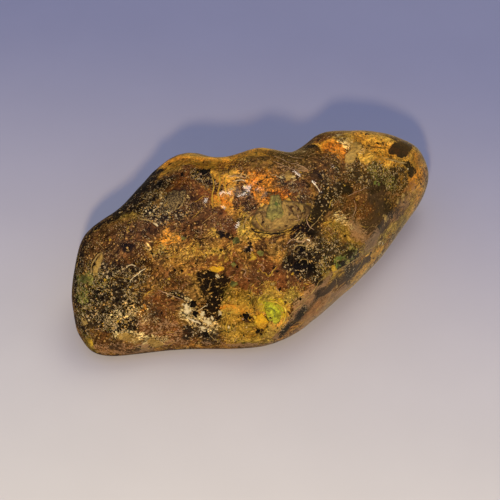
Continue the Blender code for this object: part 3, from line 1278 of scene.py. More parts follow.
NICKS = (
    Nick((243, 187), (250, 188), 0.60),
    Nick((204, 203), (208, 198), 0.62),
    Nick((222, 206), (224, 208), 0.77),
    Nick((240, 218), (235, 232), 0.75),
    Nick((295, 172), (299, 175), 0.85),
    Nick((313, 182), (317, 186), 0.85),
    Nick((318, 190), (321, 192), 0.77),
    Nick((332, 166), (336, 168), 0.59),
    Nick((308, 239), (310, 241), 0.68),
    Nick((189, 318), (197, 323), 0.80),
)


@dataclass
class ResinBody:
    """The lump's clear resin, with its worn surface."""

    viewpoint: Viewpoint
    voxel: float = 0.30 * MM
    smoothing: int = 12
    wear: tuple[Range, ...] = ((9.0, 0.34), (3.8, 0.11), (1.8, 0.030), (0.9, 0.012))  # widths, heights in mm
    foot: Range = (0.2, 2.5)  # millimetres: the wear starts over this height and is full over that
    facet_depth: float = 0.35 * MM
    facet_fade: Range = (1.1, 0.6)  # a facet's edge, in its widths from its middle
    finish: ResinFinish = field(default_factory=ResinFinish)

    def solid(self) -> Mesh:
        """Copies the frame's solid and merges its points.

        Returns:
            The copy.
        """
        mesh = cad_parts[NODE].data.copy()
        whole = bmesh.new()
        whole.from_mesh(mesh)
        bmesh.ops.remove_doubles(whole, verts=whole.verts, dist=1e-6)
        whole.to_mesh(mesh)
        whole.free()
        return mesh

    def nicked(self, mesh: Mesh, points: np.ndarray) -> np.ndarray:
        """Wears the facets into the surface.

        Args:
            mesh: The resin's mesh, with its points in place.
            points: Its points.

        Returns:
            The points after wear.
        """
        whole = bmesh.new()
        whole.from_mesh(mesh)
        tree = BVHTree.FromBMesh(whole)
        whole.free()
        eye = self.viewpoint.place()
        glint = Viewpoint(azimuth=math.radians(GLINT_AZIMUTH), elevation=math.radians(GLINT_ELEVATION))
        lamp = glint.backward() * GLINT_DISTANCE
        normals = normals_of(mesh)
        worn = points.copy()
        for nick in NICKS:
            ends = [tree.ray_cast(eye, self.viewpoint.ray(pixel))[0] for pixel in (nick.start, nick.end)]
            start, end = (np.array(place) for place in ends)
            middle = (start + end) / 2
            facing = (eye - Vector(middle)).normalized() + (lamp - Vector(middle)).normalized()
            facing = np.array(facing.normalized())
            near = nearness(points, start, end, nick.width * MM, self.facet_fade)
            rise = (points - middle) @ facing / np.maximum(normals @ facing, 0.4)
            worn -= normals * (np.clip(rise, -self.facet_depth, self.facet_depth) * near)[:, None]
        return worn

    def build(self) -> Object:
        """Makes the resin piece, which stands for the frame's solid.

        Returns:
            The piece.
        """
        mesh = even_copy(self.solid(), self.voxel, self.smoothing)
        points = points_of(mesh)
        lift = smooth_step(points[:, 2], self.foot[0] * MM, self.foot[1] * MM)
        swell = np.zeros(len(points))
        for turn, (size, height) in enumerate(self.wear):
            swell += noise_at(points, size, turn + 1) * height
        set_points(mesh, points + normals_of(mesh) * (swell * lift * MM)[:, None])
        set_points(mesh, self.nicked(mesh, points_of(mesh)))
        mesh.shade_smooth()
        piece = seat_piece("resin_lump", mesh, self.finish.material())
        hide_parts(NODE)
        return piece


@dataclass
class Sight:
    """Finds places in the resin along the camera's lines of sight."""

    viewpoint: Viewpoint
    resin: Object
    least_facing: float = 0.25  # a line of sight is bent as if it met the surface no flatter than this

    def __post_init__(self) -> None:
        """Prepares the resin's surface for ray casts."""
        graph = bpy.context.evaluated_depsgraph_get()
        self.tree = BVHTree.FromObject(self.resin, graph)

    def surface(self, pixel: Pixel) -> tuple[Vector, Vector, Vector]:
        """Where a line of sight meets the resin.

        Args:
            pixel: Column and row in the picture.

        Returns:
            The place, the surface's normal there and the line's direction.
        """
        origin = self.viewpoint.place()
        ray = self.viewpoint.ray(pixel)
        hit, normal, _, _ = self.tree.ray_cast(origin, ray)
        if hit is None:
            hit, normal, _, _ = self.tree.find_nearest(origin + ray * self.viewpoint.distance)
        return hit, normal, ray

    def under(self, pixel: Pixel, depth: float) -> Vector:
        """The place that shows at a pixel, this deep in the resin.

        Args:
            pixel: Column and row in the picture.
            depth: Millimetres along the bent line of sight.

        Returns:
            The place.
        """
        hit, normal, ray = self.surface(pixel)
        ratio = 1 / RESIN_INDEX
        facing = max(-ray.dot(normal), self.least_facing)
        inward = ray * ratio + normal * (ratio * facing - math.sqrt(1 - ratio**2 * (1 - facing**2)))
        return hit + inward.normalized() * depth * MM

    def along(self, pixels: np.ndarray, depths: np.ndarray) -> np.ndarray:
        """The places that show at several pixels.

        Args:
            pixels: Rows of column and row.
            depths: Each one's depth in millimetres.

        Returns:
            The places as rows.
        """
        return np.array([self.under(pixel, depth) for pixel, depth in zip(pixels.tolist(), depths)])


@dataclass
class CloudyResin:
    """The cloudy body of debris-filled resin under the clear surface."""

    sight: Sight
    resin: Object
    effects: Effects
    voxel: float = 0.30 * MM
    depth: float = 0.46  # millimetres under the surface
    sunk: float = 1.3  # millimetres more under clear places
    smoothing: int = 2
    relief: tuple[Triple, ...] = ((4.5, 5, 0.12), (1.9, 6, 0.09), (0.9, 7, 0.05))  # width, seed, height
    ragged: float = 2.4  # millimetres: the width of the waves in the patches' edges
    edge: Range = (1.6, 0.5)  # a patch's edge, in its radii from its middle
    hidden_patches: int = 220
    hidden_radii: Range = (0.7, 2.4)  # millimetres
    hidden_lengths: Range = (0.5, 5.0)  # millimetres
    seed: int = 11

    def hidden(self, points: np.ndarray, normals: np.ndarray) -> list[tuple]:
        """Chooses patches for the sides that the camera doesn't see.

        Args:
            points: The cloud's points.
            normals: Its normals.

        Returns:
            Rows of tint, start, end, radius in millimetres and strength.
        """
        lot = np.random.default_rng(self.seed)
        backward = np.array(self.sight.viewpoint.backward())
        unseen = np.flatnonzero(normals @ backward < -0.25)
        shares = {Tint.UMBER: 0.24, Tint.GOLD: 0.16, Tint.SOIL: 0.20, Tint.RUST: 0.14}
        shares |= {Tint.OLIVE: 0.10, Tint.EMBER: 0.05, Tint.TAUPE: 0.06, Tint.CREAM: 0.05}
        rows = []
        for _ in range(self.hidden_patches):
            spot = unseen[lot.integers(len(unseen))]
            tint = draw_one(lot, shares)
            drift = lot.normal(size=3)
            drift -= normals[spot] * (drift @ normals[spot])
            reach = drift / np.linalg.norm(drift) * lot.uniform(*self.hidden_lengths) * MM
            strength = lot.uniform(0.6, 1.0)
            radius = lot.uniform(*self.hidden_radii)
            rows.append((tint, points[spot], points[spot] + reach, radius, strength))
        return rows

    def seen(self) -> list[tuple]:
        """Places the patches that the camera sees.

        Returns:
            Rows like those of the hidden ones.
        """
        return [
            (
                patch.tint,
                np.array(self.sight.under(patch.start, self.depth)),
                np.array(self.sight.under(patch.end, self.depth)),
                patch.radius,
                patch.strength,
            )
            for patch in SEEN_PATCHES
        ]

    def paint(self, mesh: Mesh) -> dict[Tint, np.ndarray]:
        """Writes the tint masks on the mesh.

        Args:
            mesh: The cloud's mesh.

        Returns:
            One value for each point, for each tint.
        """
        points = points_of(mesh)
        warp = np.stack([noise_at(points, self.ragged, 20 + axis) for axis in range(3)], axis=1)
        warped = points + warp * MM
        masks = {tint: np.zeros(len(points)) for tint in Tint}
        for tint, start, end, radius, strength in self.seen() + self.hidden(points, normals_of(mesh)):
            value = strength * nearness(warped, start, end, radius * MM, self.edge)
            masks[tint] = np.maximum(masks[tint], value)
        for tint, values in masks.items():
            layer = mesh.attributes.new(tint.value, "FLOAT", "POINT")
            layer.data.foreach_set("value", values.astype(np.float32))
        return masks

    def build(self) -> tuple[Object, dict[Tint, np.ndarray]]:
        """Makes the cloudy body.

        Returns:
            The piece and its masks.
        """
        shrunk = self.resin.data.copy()
        set_points(shrunk, points_of(shrunk) - normals_of(shrunk) * self.depth * MM)
        mesh = even_copy(shrunk, self.voxel, self.smoothing)
        masks = self.paint(mesh)
        points = points_of(mesh)
        relief = np.zeros(len(points))
        for size, seed, height in self.relief:
            relief += height * noise_at(points, size, seed)
        sunk = self.sunk * masks[Tint.CLEAR] - relief
        set_points(mesh, points - normals_of(mesh) * (sunk * MM)[:, None])
        mesh.shade_smooth()
        return seat_piece("cloudy_resin", mesh, CloudFinish(self.effects).material()), masks


@dataclass(frozen=True)
class GrainMix:
    """How many grains of a tone there are, how large they are, and which tints they gather in."""

    tone: Tone
    count: int
    smallest: float  # millimetres
    largest: float  # millimetres
    spread: float  # how freely they lie where no tint gathers them
    liking: tuple[tuple[Tint, float], ...]


@dataclass
class Grains:
    """Grains of soil and wood sealed just over the cloudy body."""

    cloud: Object
    masks: dict[Tint, np.ndarray]
    effects: Effects
    mixes: tuple[GrainMix, ...] = (
        GrainMix(
            Tone.BLACK, 13000, 0.12, 0.46, 0.50, ((Tint.SOIL, 2.6), (Tint.UMBER, 1.4), (Tint.CREAM, 2.2))
        ),
        GrainMix(Tone.BROWN, 10000, 0.12, 0.42, 0.90, ((Tint.RUST, 0.8), (Tint.GOLD, 0.5))),
        GrainMix(
            Tone.TAN, 11000, 0.12, 0.40, 0.35, ((Tint.SOIL, 2.0), (Tint.UMBER, 0.8), (Tint.CREAM, 1.0))
        ),
        GrainMix(
            Tone.CREAM, 8000, 0.10, 0.36, 0.10, ((Tint.SOIL, 1.8), (Tint.CREAM, 2.2), (Tint.UMBER, 0.25))
        ),
        GrainMix(
            Tone.YELLOW, 5500, 0.12, 0.36, 0.45, ((Tint.GOLD, 0.3), (Tint.OLIVE, 0.9), (Tint.SOIL, 0.6))
        ),
        GrainMix(
            Tone.PINK, 7500, 0.10, 0.32, 0.12, ((Tint.UMBER, 1.4), (Tint.RUST, 1.2), (Tint.TAUPE, 0.5))
        ),
        GrainMix(
            Tone.GREEN, 3000, 0.12, 0.36, 0.03, ((Tint.MOSS, 3.0), (Tint.OLIVE, 0.5), (Tint.SOIL, 0.15))
        ),
    )
    shunned: tuple[tuple[Tint, float], ...] = ((Tint.SMOKE, 2.0), (Tint.TAUPE, 1.0), (Tint.PITCH, 3.0))
    lift: float = 0.06  # millimetres over the cloud, on average
    lift_spread: float = 0.09  # millimetres
    lift_limits: Range = (-0.1, 0.30)  # millimetres
    slimness: float = 2.3  # of the longest slivers
    seed: int = 5

    def flakes(self, centres: np.ndarray, sizes: np.ndarray, lot: np.random.Generator) -> Heap:
        """Makes closed irregular flakes of six triangles.

        Args:
            centres: Where they are.
            sizes: Their widths in metres.
            lot: The random draws.

        Returns:
            The heap of flakes.
        """
        corner = np.array(
            [(1, 0, 0), (-0.5, 0.87, 0), (-0.5, -0.87, 0), (0, 0, 0.6), (0, 0, -0.6)], float
        )
        faces = np.array([(0, 1, 3), (1, 2, 3), (2, 0, 3), (1, 0, 4), (2, 1, 4), (0, 2, 4)])
        count = len(centres)
        shapes = corner[None] * lot.uniform(0.55, 1.25, (count, 5, 1))
        slim = lot.uniform(1.0, self.slimness, count)
        shapes *= np.stack([slim, 1 / slim**0.6, 1 / slim**0.4], axis=1)[:, None, :]
        turns, _ = np.linalg.qr(lot.normal(size=(count, 3, 3)))
        turns *= np.linalg.det(turns)[:, None, None]
        placed = np.einsum("nij,nkj->nki", turns, shapes) * (sizes / 2)[:, None, None] + centres[:, None]
        heap = Heap()
        starts = (np.arange(count) * 5)[:, None, None]
        heap.add(placed.reshape(-1, 3), (faces[None] + starts).reshape(-1, 3))
        return heap

    def build(self) -> list[Object]:
        """Scatters the grains, one piece for each tone.

        Returns:
            The pieces.
        """
        mesh = self.cloud.data
        mesh.calc_loop_triangles()
        corners = np.empty(len(mesh.loop_triangles) * 3, np.int32)
        mesh.loop_triangles.foreach_get("vertices", corners)
        corners = corners.reshape(-1, 3)
        points = points_of(mesh)
        normals = normals_of(mesh)
        first, second, third = (points[corners[:, side]] for side in range(3))
        areas = np.linalg.norm(np.cross(second - first, third - first), axis=1) / 2
        clumps = noise_at(first, 1.6, 31) + 0.7 * noise_at(first, 0.7, 32)
        lot = np.random.default_rng(self.seed)
        pieces = []
        for mix in self.mixes:
            weight = np.full(len(areas), mix.spread)
            for tint, liking in mix.liking:
                weight += liking * self.masks[tint][corners[:, 0]]
            for tint, shunning in self.shunned:
                weight -= shunning * self.masks[tint][corners[:, 0]] * (mix.tone is not Tone.BLACK)
            weight = np.clip(weight, 0.0, None) * areas * np.clip(0.45 + 3.0 * clumps, 0.03, None)
            chosen = lot.choice(len(areas), size=mix.count, p=weight / weight.sum())
            shares = lot.dirichlet((1.0, 1.0, 1.0), mix.count)
            centres = sum(shares[:, side, None] * points[corners[chosen, side]] for side in range(3))
            sizes = mix.smallest * (mix.largest / mix.smallest) ** lot.beta(1.3, 2.0, mix.count) * MM
            lifts = np.clip(lot.normal(self.lift, self.lift_spread, mix.count), *self.lift_limits) * MM
            centres = centres + normals[corners[chosen, 0]] * lifts[:, None]
            name = "grains_" + mix.tone.value
            mesh = self.flakes(centres, sizes, lot).mesh(name)
            pieces.append(seat_piece(name, mesh, DebrisFinish(self.effects, mix.tone).material()))
        return pieces


@dataclass(frozen=True)
class Lens:
    """A pocket of clearer resin: its outline as the camera sees it, and its depths."""

    outline: tuple[Pixel, ...]
    top: float  # millimetres deep at its middle
    sag: float  # millimetres deeper at its rim
    thickness: float  # millimetres


# The lime and amber glows are bright pockets: partly their own colour and partly painted glow of light
# gathered in the resin.
LIME_GLOW = Lens(
    (
        (263, 304), (268, 301), (276, 302), (282, 306), (284, 312),
        (281, 319), (276, 326), (271, 322), (266, 316),
    ),
    top=0.20,
    sag=0.34,
    thickness=0.60,
)
AMBER_GLOW = Lens(
    ((256, 317), (261, 314), (266, 317), (268, 323), (264, 329), (258, 328), (254, 322)),
    top=0.25,
    sag=0.26,
    thickness=0.56,
)
WINDOW = Lens(
    (
        (252, 221), (256, 212), (264, 206), (274, 203), (288, 201), (302, 203), (311, 207),
        (310, 214), (303, 221), (292, 228), (278, 232), (264, 232), (255, 228),
    ),
    top=0.24,
    sag=0.16,
    thickness=0.56,
)
GREEN_BELL = Lens(
    (
        (271, 196), (277, 194), (281, 198), (282, 206), (285, 215),
        (281, 221), (272, 221), (266, 217), (268, 208), (270, 201),
    ),
    top=0.19,
    sag=0.08,
    thickness=0.31,
)
YELLOW_BAR = Lens(
    ((205, 268), (212, 266), (222, 266), (226, 268), (222, 271), (212, 272)),
    top=0.31,
    sag=0.25,
    thickness=0.37,
)
NETTED_FLAKE = Lens(
    (
        (162, 205), (166, 199), (167, 195), (172, 193), (175, 190), (180, 191), (185, 189), (186, 195),
        (183, 198), (184, 203), (179, 205), (178, 210), (173, 211), (170, 215), (168, 209), (164, 210),
    ),
    top=0.28,
    sag=0.22,
    thickness=0.37,
)
TAN_POCKETS = (
    Lens(((116, 335), (123, 331), (133, 334), (139, 339), (130, 342), (119, 340)), 0.31, 0.28, 0.43),
    Lens(((146, 341), (152, 336), (160, 339), (164, 345), (156, 348), (148, 346)), 0.31, 0.28, 0.43),
    Lens(((284, 174), (289, 171), (293, 175), (291, 180), (286, 180)), 0.31, 0.25, 0.31),
    Lens(((345, 155), (350, 150), (357, 152), (356, 160), (350, 164), (345, 161)), 0.31, 0.28, 0.43),
    Lens(((349, 146), (355, 142), (362, 144), (361, 151), (353, 153)), 0.31, 0.25, 0.37),
    Lens(((93, 270), (95, 262), (101, 252), (104, 255), (100, 266), (97, 275), (93, 276)), 0.31, 0.25, 0.31),
)
GREEN_SPOTS = (
    Lens(((231, 240), (235, 235), (240, 238), (240, 244), (234, 245)), 0.28, 0.28, 0.31),
    Lens(((256, 253), (260, 249), (265, 253), (261, 257)), 0.28, 0.28, 0.31),
    Lens(((230, 264), (234, 261), (238, 265), (233, 268)), 0.28, 0.28, 0.31),
    Lens(((229, 284), (233, 280), (238, 283), (234, 287)), 0.28, 0.28, 0.31),
    Lens(((180, 238), (183, 235), (187, 238), (183, 241)), 0.28, 0.28, 0.25),
    Lens(((79, 278), (84, 275), (89, 279), (84, 284)), 0.28, 0.28, 0.31),
)


@dataclass
class LensMaker:
    """Builds lenses from their outlines."""

    sight: Sight
    rings: int = 6
    steps: int = 4
    raggedness: float = 0.9  # pixels

    def mesh(self, lens: Lens, heap: Heap) -> None:
        """Adds one closed lens to a heap.

        Args:
            lens: The lens.
            heap: Where its points and triangles go.
        """
        outline = curve_through(np.array(lens.outline, float), self.steps, closed=True)
        around = len(outline)
        middle = outline.mean(axis=0)
        seed = middle[0] * 0.37 + middle[1] * 0.11
        wobble = []
        for column, row in outline.tolist():
            coarse = noise.noise((column * 0.35, row * 0.35, seed))
            wobble.append(coarse + 0.6 * noise.noise((column * 1.1, row * 1.1, seed)))
        outward = outline - middle
        outward = outward / np.linalg.norm(outward, axis=1)[:, None]
        outline = outline + outward * np.array(wobble)[:, None] * self.raggedness * 2
        shares = [1 - ring / self.rings for ring in range(self.rings)]
        rows = []
        for share in shares:
            ring = middle + (outline - middle) * share
            rows.append(self.sight.along(ring, np.full(around, lens.top + lens.sag * share**2)))
        for share in shares[1:]:
            ring = middle + (outline - middle) * share
            deep = lens.top + lens.sag * share**2 + lens.thickness * (1 - share**2)
            rows.append(self.sight.along(ring, np.full(around, deep)))
        top = self.sight.along(middle[None], np.array([lens.top]))
        low = self.sight.along(middle[None], np.array([lens.top + lens.thickness]))
        points = np.concatenate([*rows, top, low])
        top_rings = list(range(self.rings))
        low_rings = [0, *range(self.rings, 2 * self.rings - 1)]
        faces = []
        for rings, flip in ((top_rings, False), (low_rings, True)):
            for outer, inner in zip(rings, rings[1:]):
                for spot in range(around):
                    after = (spot + 1) % around
                    far, near = outer * around, inner * around
                    quad = (far + spot, far + after, near + after, near + spot)
                    quad = quad[::-1] if flip else quad
                    faces += [(quad[0], quad[1], quad[2]), (quad[0], quad[2], quad[3])]
            peak = len(points) - (1 if flip else 2)
            last = rings[-1] * around
            for spot in range(around):
                after = (spot + 1) % around
                side = (last + spot, last + after, peak)
                faces.append(side[::-1] if flip else side)
        heap.add(points, np.array(faces))

    def build(self, name: str, lenses: tuple[Lens, ...], material: Material) -> Object:
        """Makes one piece of one or more lenses with the same finish.

        Args:
            name: The piece's name.
            lenses: The lenses.
            material: Their material.

        Returns:
            The piece.
        """
        heap = Heap()
        for lens in lenses:
            self.mesh(lens, heap)
        mesh = heap.mesh(name)
        face_outward(mesh)
        mesh.shade_smooth()
        return seat_piece(name, mesh, material)


@dataclass
class Pockets:
    """The pockets of clearer resin, each with its own finish."""

    sight: Sight
    effects: Effects
    window: Paint = Paint((0.440, 0.330, 0.130, 1.0), (0.195, 0.130, 0.056, 1.0))
    bell: Paint = Paint((0.350, 0.345, 0.120, 1.0), (0.150, 0.145, 0.058, 1.0))
    # The lime and amber paints are bright: partly the pockets' own colour and partly painted glow.
    lime: Paint = Paint((0.540, 0.640, 0.062, 1.0), (0.270, 0.300, 0.030, 1.0))
    lime_fleck: Colour = (0.831, 0.792, 0.136, 1.0)
    amber: Paint = Paint((0.810, 0.549, 0.040, 1.0), (0.478, 0.275, 0.027, 1.0))
    amber_fleck: Colour = (0.836, 0.744, 0.136, 1.0)
    tan: Paint = Paint((0.570, 0.440, 0.165, 1.0), (0.330, 0.235, 0.075, 1.0))
    green: Paint = Paint((0.202, 0.238, 0.075, 1.0), (0.070, 0.088, 0.031, 1.0))

    def build(self) -> list[Object]:
        """Makes a piece for each finish.

        Returns:
            The pieces.
        """
        maker = LensMaker(self.sight)
        effects = self.effects
        rows = (
            ("window", (WINDOW,), LensFinish(effects, "window_resin", self.window, 1.15)),
            ("green_bell", (GREEN_BELL,), LensFinish(effects, "moss_resin", self.bell, 1.3)),
            ("lime_glow", (LIME_GLOW,), LensFinish(effects, "lime_resin", self.lime, 1.3, self.lime_fleck)),
            (
                "amber_glow",
                (AMBER_GLOW, YELLOW_BAR),
                LensFinish(effects, "amber_resin", self.amber, 0.9, self.amber_fleck),
            ),
            ("tan_pockets", TAN_POCKETS, LensFinish(effects, "tan_resin", self.tan, 0.9)),
            ("green_spots", GREEN_SPOTS, LensFinish(effects, "green_resin", self.green, 1.3)),
            ("netted_flake", (NETTED_FLAKE,), NetFinish(effects)),
        )
        return [maker.build(name, lenses, finish.material()) for name, lenses, finish in rows]


@dataclass(frozen=True)
class Thread:
    """A thin strand in the resin: a flow line, a fibre or a healed crack; a few pale ones are painted
    highlights where the polish glints.
    """

    tone: Tone
    path: tuple[Pixel, ...]
    width: float  # millimetres
    depth: float = 0.28  # millimetres


SEEN_THREADS = (
    *series(
        Thread,
        Tone.BLACK,
        (
            (
                (250, 223), (251, 228), (256, 232), (263, 233), (274, 234),
                (284, 232), (296, 228), (304, 222), (310, 215),
            ),
            0.21, 0.22,
        ),
        (((303, 206), (306, 210), (304, 215)), 0.12, 0.12),
        (((196, 238), (201, 239), (207, 238)), 0.24),
        (((172, 294), (179, 297), (187, 301)), 0.22, 0.31),
    ),
    *series(
        Thread,
        Tone.TAN,
        (((253, 212), (248, 217), (244, 224), (243, 229)), 0.22),
        (((289, 212), (297, 213), (305, 211)), 0.12, 0.12),
        (((326, 210), (322, 214), (318, 220), (312, 226), (308, 231)), 0.12, 0.19),
        (((271, 340), (284, 322), (294, 311), (303, 303), (315, 289), (321, 280), (335, 272)), 0.16, 0.12),
        (((335, 272), (352, 262), (370, 249), (395, 235)), 0.22, 0.15),
        (((382, 157), (392, 160), (400, 162), (407, 163)), 0.30),
        (((140, 219), (148, 220), (156, 224)), 0.26),
        (((185, 196), (183, 203), (178, 209)), 0.22, 0.21),
        (((91, 274), (92, 264), (98, 255), (103, 252)), 0.26),
        (((97, 276), (99, 266), (104, 257)), 0.20),
        (((294, 252), (295, 247), (300, 245), (306, 247), (306, 252)), 0.20, 0.21),
        (((299, 263), (302, 259), (307, 260), (308, 265)), 0.16, 0.21),
        (((324, 280), (325, 275), (330, 275), (331, 280), (327, 282)), 0.20, 0.21),
        (((336, 222), (342, 218), (350, 213)), 0.22),
        (((340, 226), (346, 222), (352, 219)), 0.18),
        (((418, 164), (421, 162), (424, 165), (421, 168), (418, 166)), 0.18),
    ),
    *series(
        Thread,
        Tone.BROWN,
        (((286, 205), (291, 209), (294, 215)), 0.16, 0.14),
        (((296, 205), (300, 210), (301, 217), (298, 222)), 0.14, 0.14),
        (((287, 219), (294, 220), (301, 218)), 0.12, 0.14),
        (((260, 212), (263, 218), (261, 225)), 0.16, 0.14),
        (((368, 146), (380, 148), (389, 148)), 0.20),
    ),
    *series(
        Thread,
        Tone.YELLOW,
        (((256, 216), (258, 222), (263, 228)), 0.14, 0.14),
        (((251, 149), (258, 148), (267, 149), (276, 150), (284, 152)), 0.40),
        (((255, 310), (260, 306), (265, 304)), 0.16, 0.19),
        (((268, 301), (276, 302), (283, 306), (286, 312), (285, 319), (281, 326), (276, 332)), 0.27, 0.12),
        (((273, 304), (279, 308), (282, 314), (281, 320)), 0.14, 0.10),
        (((257, 324), (262, 326), (267, 323)), 0.18, 0.10),
        (((226, 313), (228, 320), (226, 326), (227, 332)), 0.22),
        (((231, 314), (232, 321), (230, 329)), 0.20),
        (((212, 176), (214, 186), (212, 196), (213, 208)), 0.26),
        (((219, 172), (220, 183), (218, 194), (221, 204)), 0.30),
        (((226, 176), (225, 186), (228, 196)), 0.24),
    ),
    *series(
        Thread,
        Tone.GREEN,
        (((266, 309), (271, 308), (275, 312), (274, 318)), 0.16, 0.10),
        (((334, 263), (337, 258), (342, 257), (346, 259)), 0.30, 0.21),
    ),
    *series(
        Thread,
        Tone.PINK,
        # Painted highlight: a pale pink streak where the polish shines.
        (((230, 177), (237, 176), (246, 178)), 0.16, 0.19),
        (((274, 156), (282, 159), (290, 163), (300, 165), (310, 171)), 0.11),
        (((276, 162), (285, 166), (296, 170), (304, 171)), 0.10),
        (((280, 152), (292, 157), (304, 158)), 0.09),
        (((158, 290), (166, 293), (175, 297), (184, 300)), 0.12, 0.22),
        (((287, 244), (293, 239), (300, 242), (306, 240)), 0.14, 0.20),
        (((348, 196), (354, 193), (361, 190), (367, 187)), 0.11),
        (((352, 218), (356, 208), (354, 200)), 0.11),
        # Painted highlight on the worn facet at this place.
        (((294, 171), (297, 174), (300, 176)), 0.16, 0.17),
        (((241, 268), (246, 271), (244, 276), (250, 279)), 0.12),
        (((258, 264), (264, 267), (262, 272)), 0.11),
    ),
    *series(
        Thread,
        Tone.CREAM,
        # Painted highlight: a pale streak where the polish shines.
        (((233, 181), (241, 180), (246, 181)), 0.18, 0.19),
        (((153, 223), (158, 226)), 0.34, 0.19),
        (((146, 268), (140, 272), (135, 276), (130, 281)), 0.18, 0.20),
        (((126, 267), (131, 265), (136, 266)), 0.18, 0.20),
        # Partly a pale fibre among the cream crumbs and partly a painted highlight along the worn facet
        # here.
        (((186, 317), (192, 320), (197, 322), (201, 324)), 0.36, 0.19),
        # Painted highlight on the worn facet at this place.
        (((307, 239), (310, 241)), 0.34, 0.17),
        # Painted highlight along the worn facets at this place.
        (((312, 181), (314, 184), (317, 187), (320, 192)), 0.24, 0.17),
    ),
)


@dataclass
class Threads:
    """Strands of every tone, those that the camera sees and others all over the lump."""

    sight: Sight
    cloud: Object
    effects: Effects
    sides: int = 5
    strays: int = 380
    stray_widths: Range = (0.06, 0.15)  # millimetres
    stray_steps: Range = (0.22, 0.45)  # millimetres from one mark of a stray to the next
    stray_lifts: Range = (0.08, 0.16)  # millimetres over the cloud
    waver: float = 0.9  # pixels that a seen thread strays from its path
    seed: int = 17

    def tube(self, path: np.ndarray, width: float, heap: Heap) -> None:
        """Adds a closed tapering tube.

        Args:
            path: Points along its middle.
            width: Its width in metres.
            heap: Where its points and triangles go.
        """
        count = len(path)
        ahead = np.gradient(path, axis=0)
        ahead /= np.maximum(np.linalg.norm(ahead, axis=1), 1e-9)[:, None]
        side = np.cross(ahead, (0.31, 0.17, 0.94))
        side /= np.maximum(np.linalg.norm(side, axis=1), 1e-9)[:, None]
        upward = np.cross(ahead, side)
        share = np.linspace(0, 1, count)
        radii = width / 2 * (0.25 + 0.75 * np.sin(np.pi * np.clip(share, 0.03, 0.97)) ** 0.5)
        radii *= 1 + 0.35 * np.sin(share * 23 + path[0, 0] * 4000)
        turn = np.arange(self.sides) * 2 * np.pi / self.sides
        ring = side[:, None] * np.cos(turn)[None, :, None] + upward[:, None] * np.sin(turn)[None, :, None]
        points = path[:, None] + ring * radii[:, None, None]
        faces = []
        for step in range(count - 1):
            for edge in range(self.sides):
                after = (edge + 1) % self.sides
                low, high = step * self.sides, (step + 1) * self.sides
                faces += [(low + edge, low + after, high + after), (low + edge, high + after, high + edge)]
        for edge in range(1, self.sides - 1):
            last = (count - 1) * self.sides
            faces += [(0, edge + 1, edge), (last, last + edge, last + edge + 1)]
        heap.add(points.reshape(-1, 3), np.array(faces))

    def stray(self, tree: BVHTree, start: np.ndarray, lot: np.random.Generator) -> np.ndarray:
        """A strand that wanders over the cloud.

        Args:
            tree: The cloud's surface.
            start: Where it starts.
            lot: The random draws.

        Returns:
            Points along it.
        """
        heading = lot.normal(size=3) * (1.8, 1.0, 1.0)
        place = Vector(start)
        path = []
        for _ in range(int(lot.integers(4, 11))):
            near, normal, _, _ = tree.find_nearest(place)
            path.append(np.array(near + normal * lot.uniform(*self.stray_lifts) * MM))
            heading += lot.normal(size=3) * 0.7
            level = heading - np.array(normal) * (heading @ np.array(normal))
            stride = lot.uniform(*self.stray_steps)
            place = near + Vector(level / np.linalg.norm(level)) * stride * MM
        return np.array(path)

    def build(self) -> list[Object]:
        """Makes the strands, one piece for each tone.

        Returns:
            The pieces.
        """
        heaps = {tone: Heap() for tone in Tone}
        for thread in SEEN_THREADS:
            pixels = curve_through(np.array(thread.path, float), 4)
            jitter = [noise.noise((spot[0] * 0.3, spot[1] * 0.3, 4.0)) for spot in pixels.tolist()]
            pixels[:, 1] += np.array(jitter) * self.waver
            path = self.sight.along(pixels, np.full(len(pixels), thread.depth))
            self.tube(path, thread.width * MM, heaps[thread.tone])
        tree = BVHTree.FromObject(self.cloud, bpy.context.evaluated_depsgraph_get())
        lot = np.random.default_rng(self.seed)
        points = points_of(self.cloud.data)
        shares = {Tone.YELLOW: 0.22, Tone.TAN: 0.26, Tone.BROWN: 0.34}
        shares |= {Tone.PINK: 0.04, Tone.CREAM: 0.01, Tone.BLACK: 0.13}
        for _ in range(self.strays):
            tone = draw_one(lot, shares)
            path = self.stray(tree, points[lot.integers(len(points))], lot)
            self.tube(path, lot.uniform(*self.stray_widths) * MM, heaps[tone])
        return seat_heaps("threads", heaps, self.effects)


@dataclass(frozen=True)
class Crumb:
    """A lump of debris at a place that the camera sees; a few pale ones are painted highlights where the
    polish glints.
    """

    tone: Tone
    pixel: Pixel
    across: float  # millimetres
    stretch: float = 1.0
    depth: float = 0.36  # millimetres


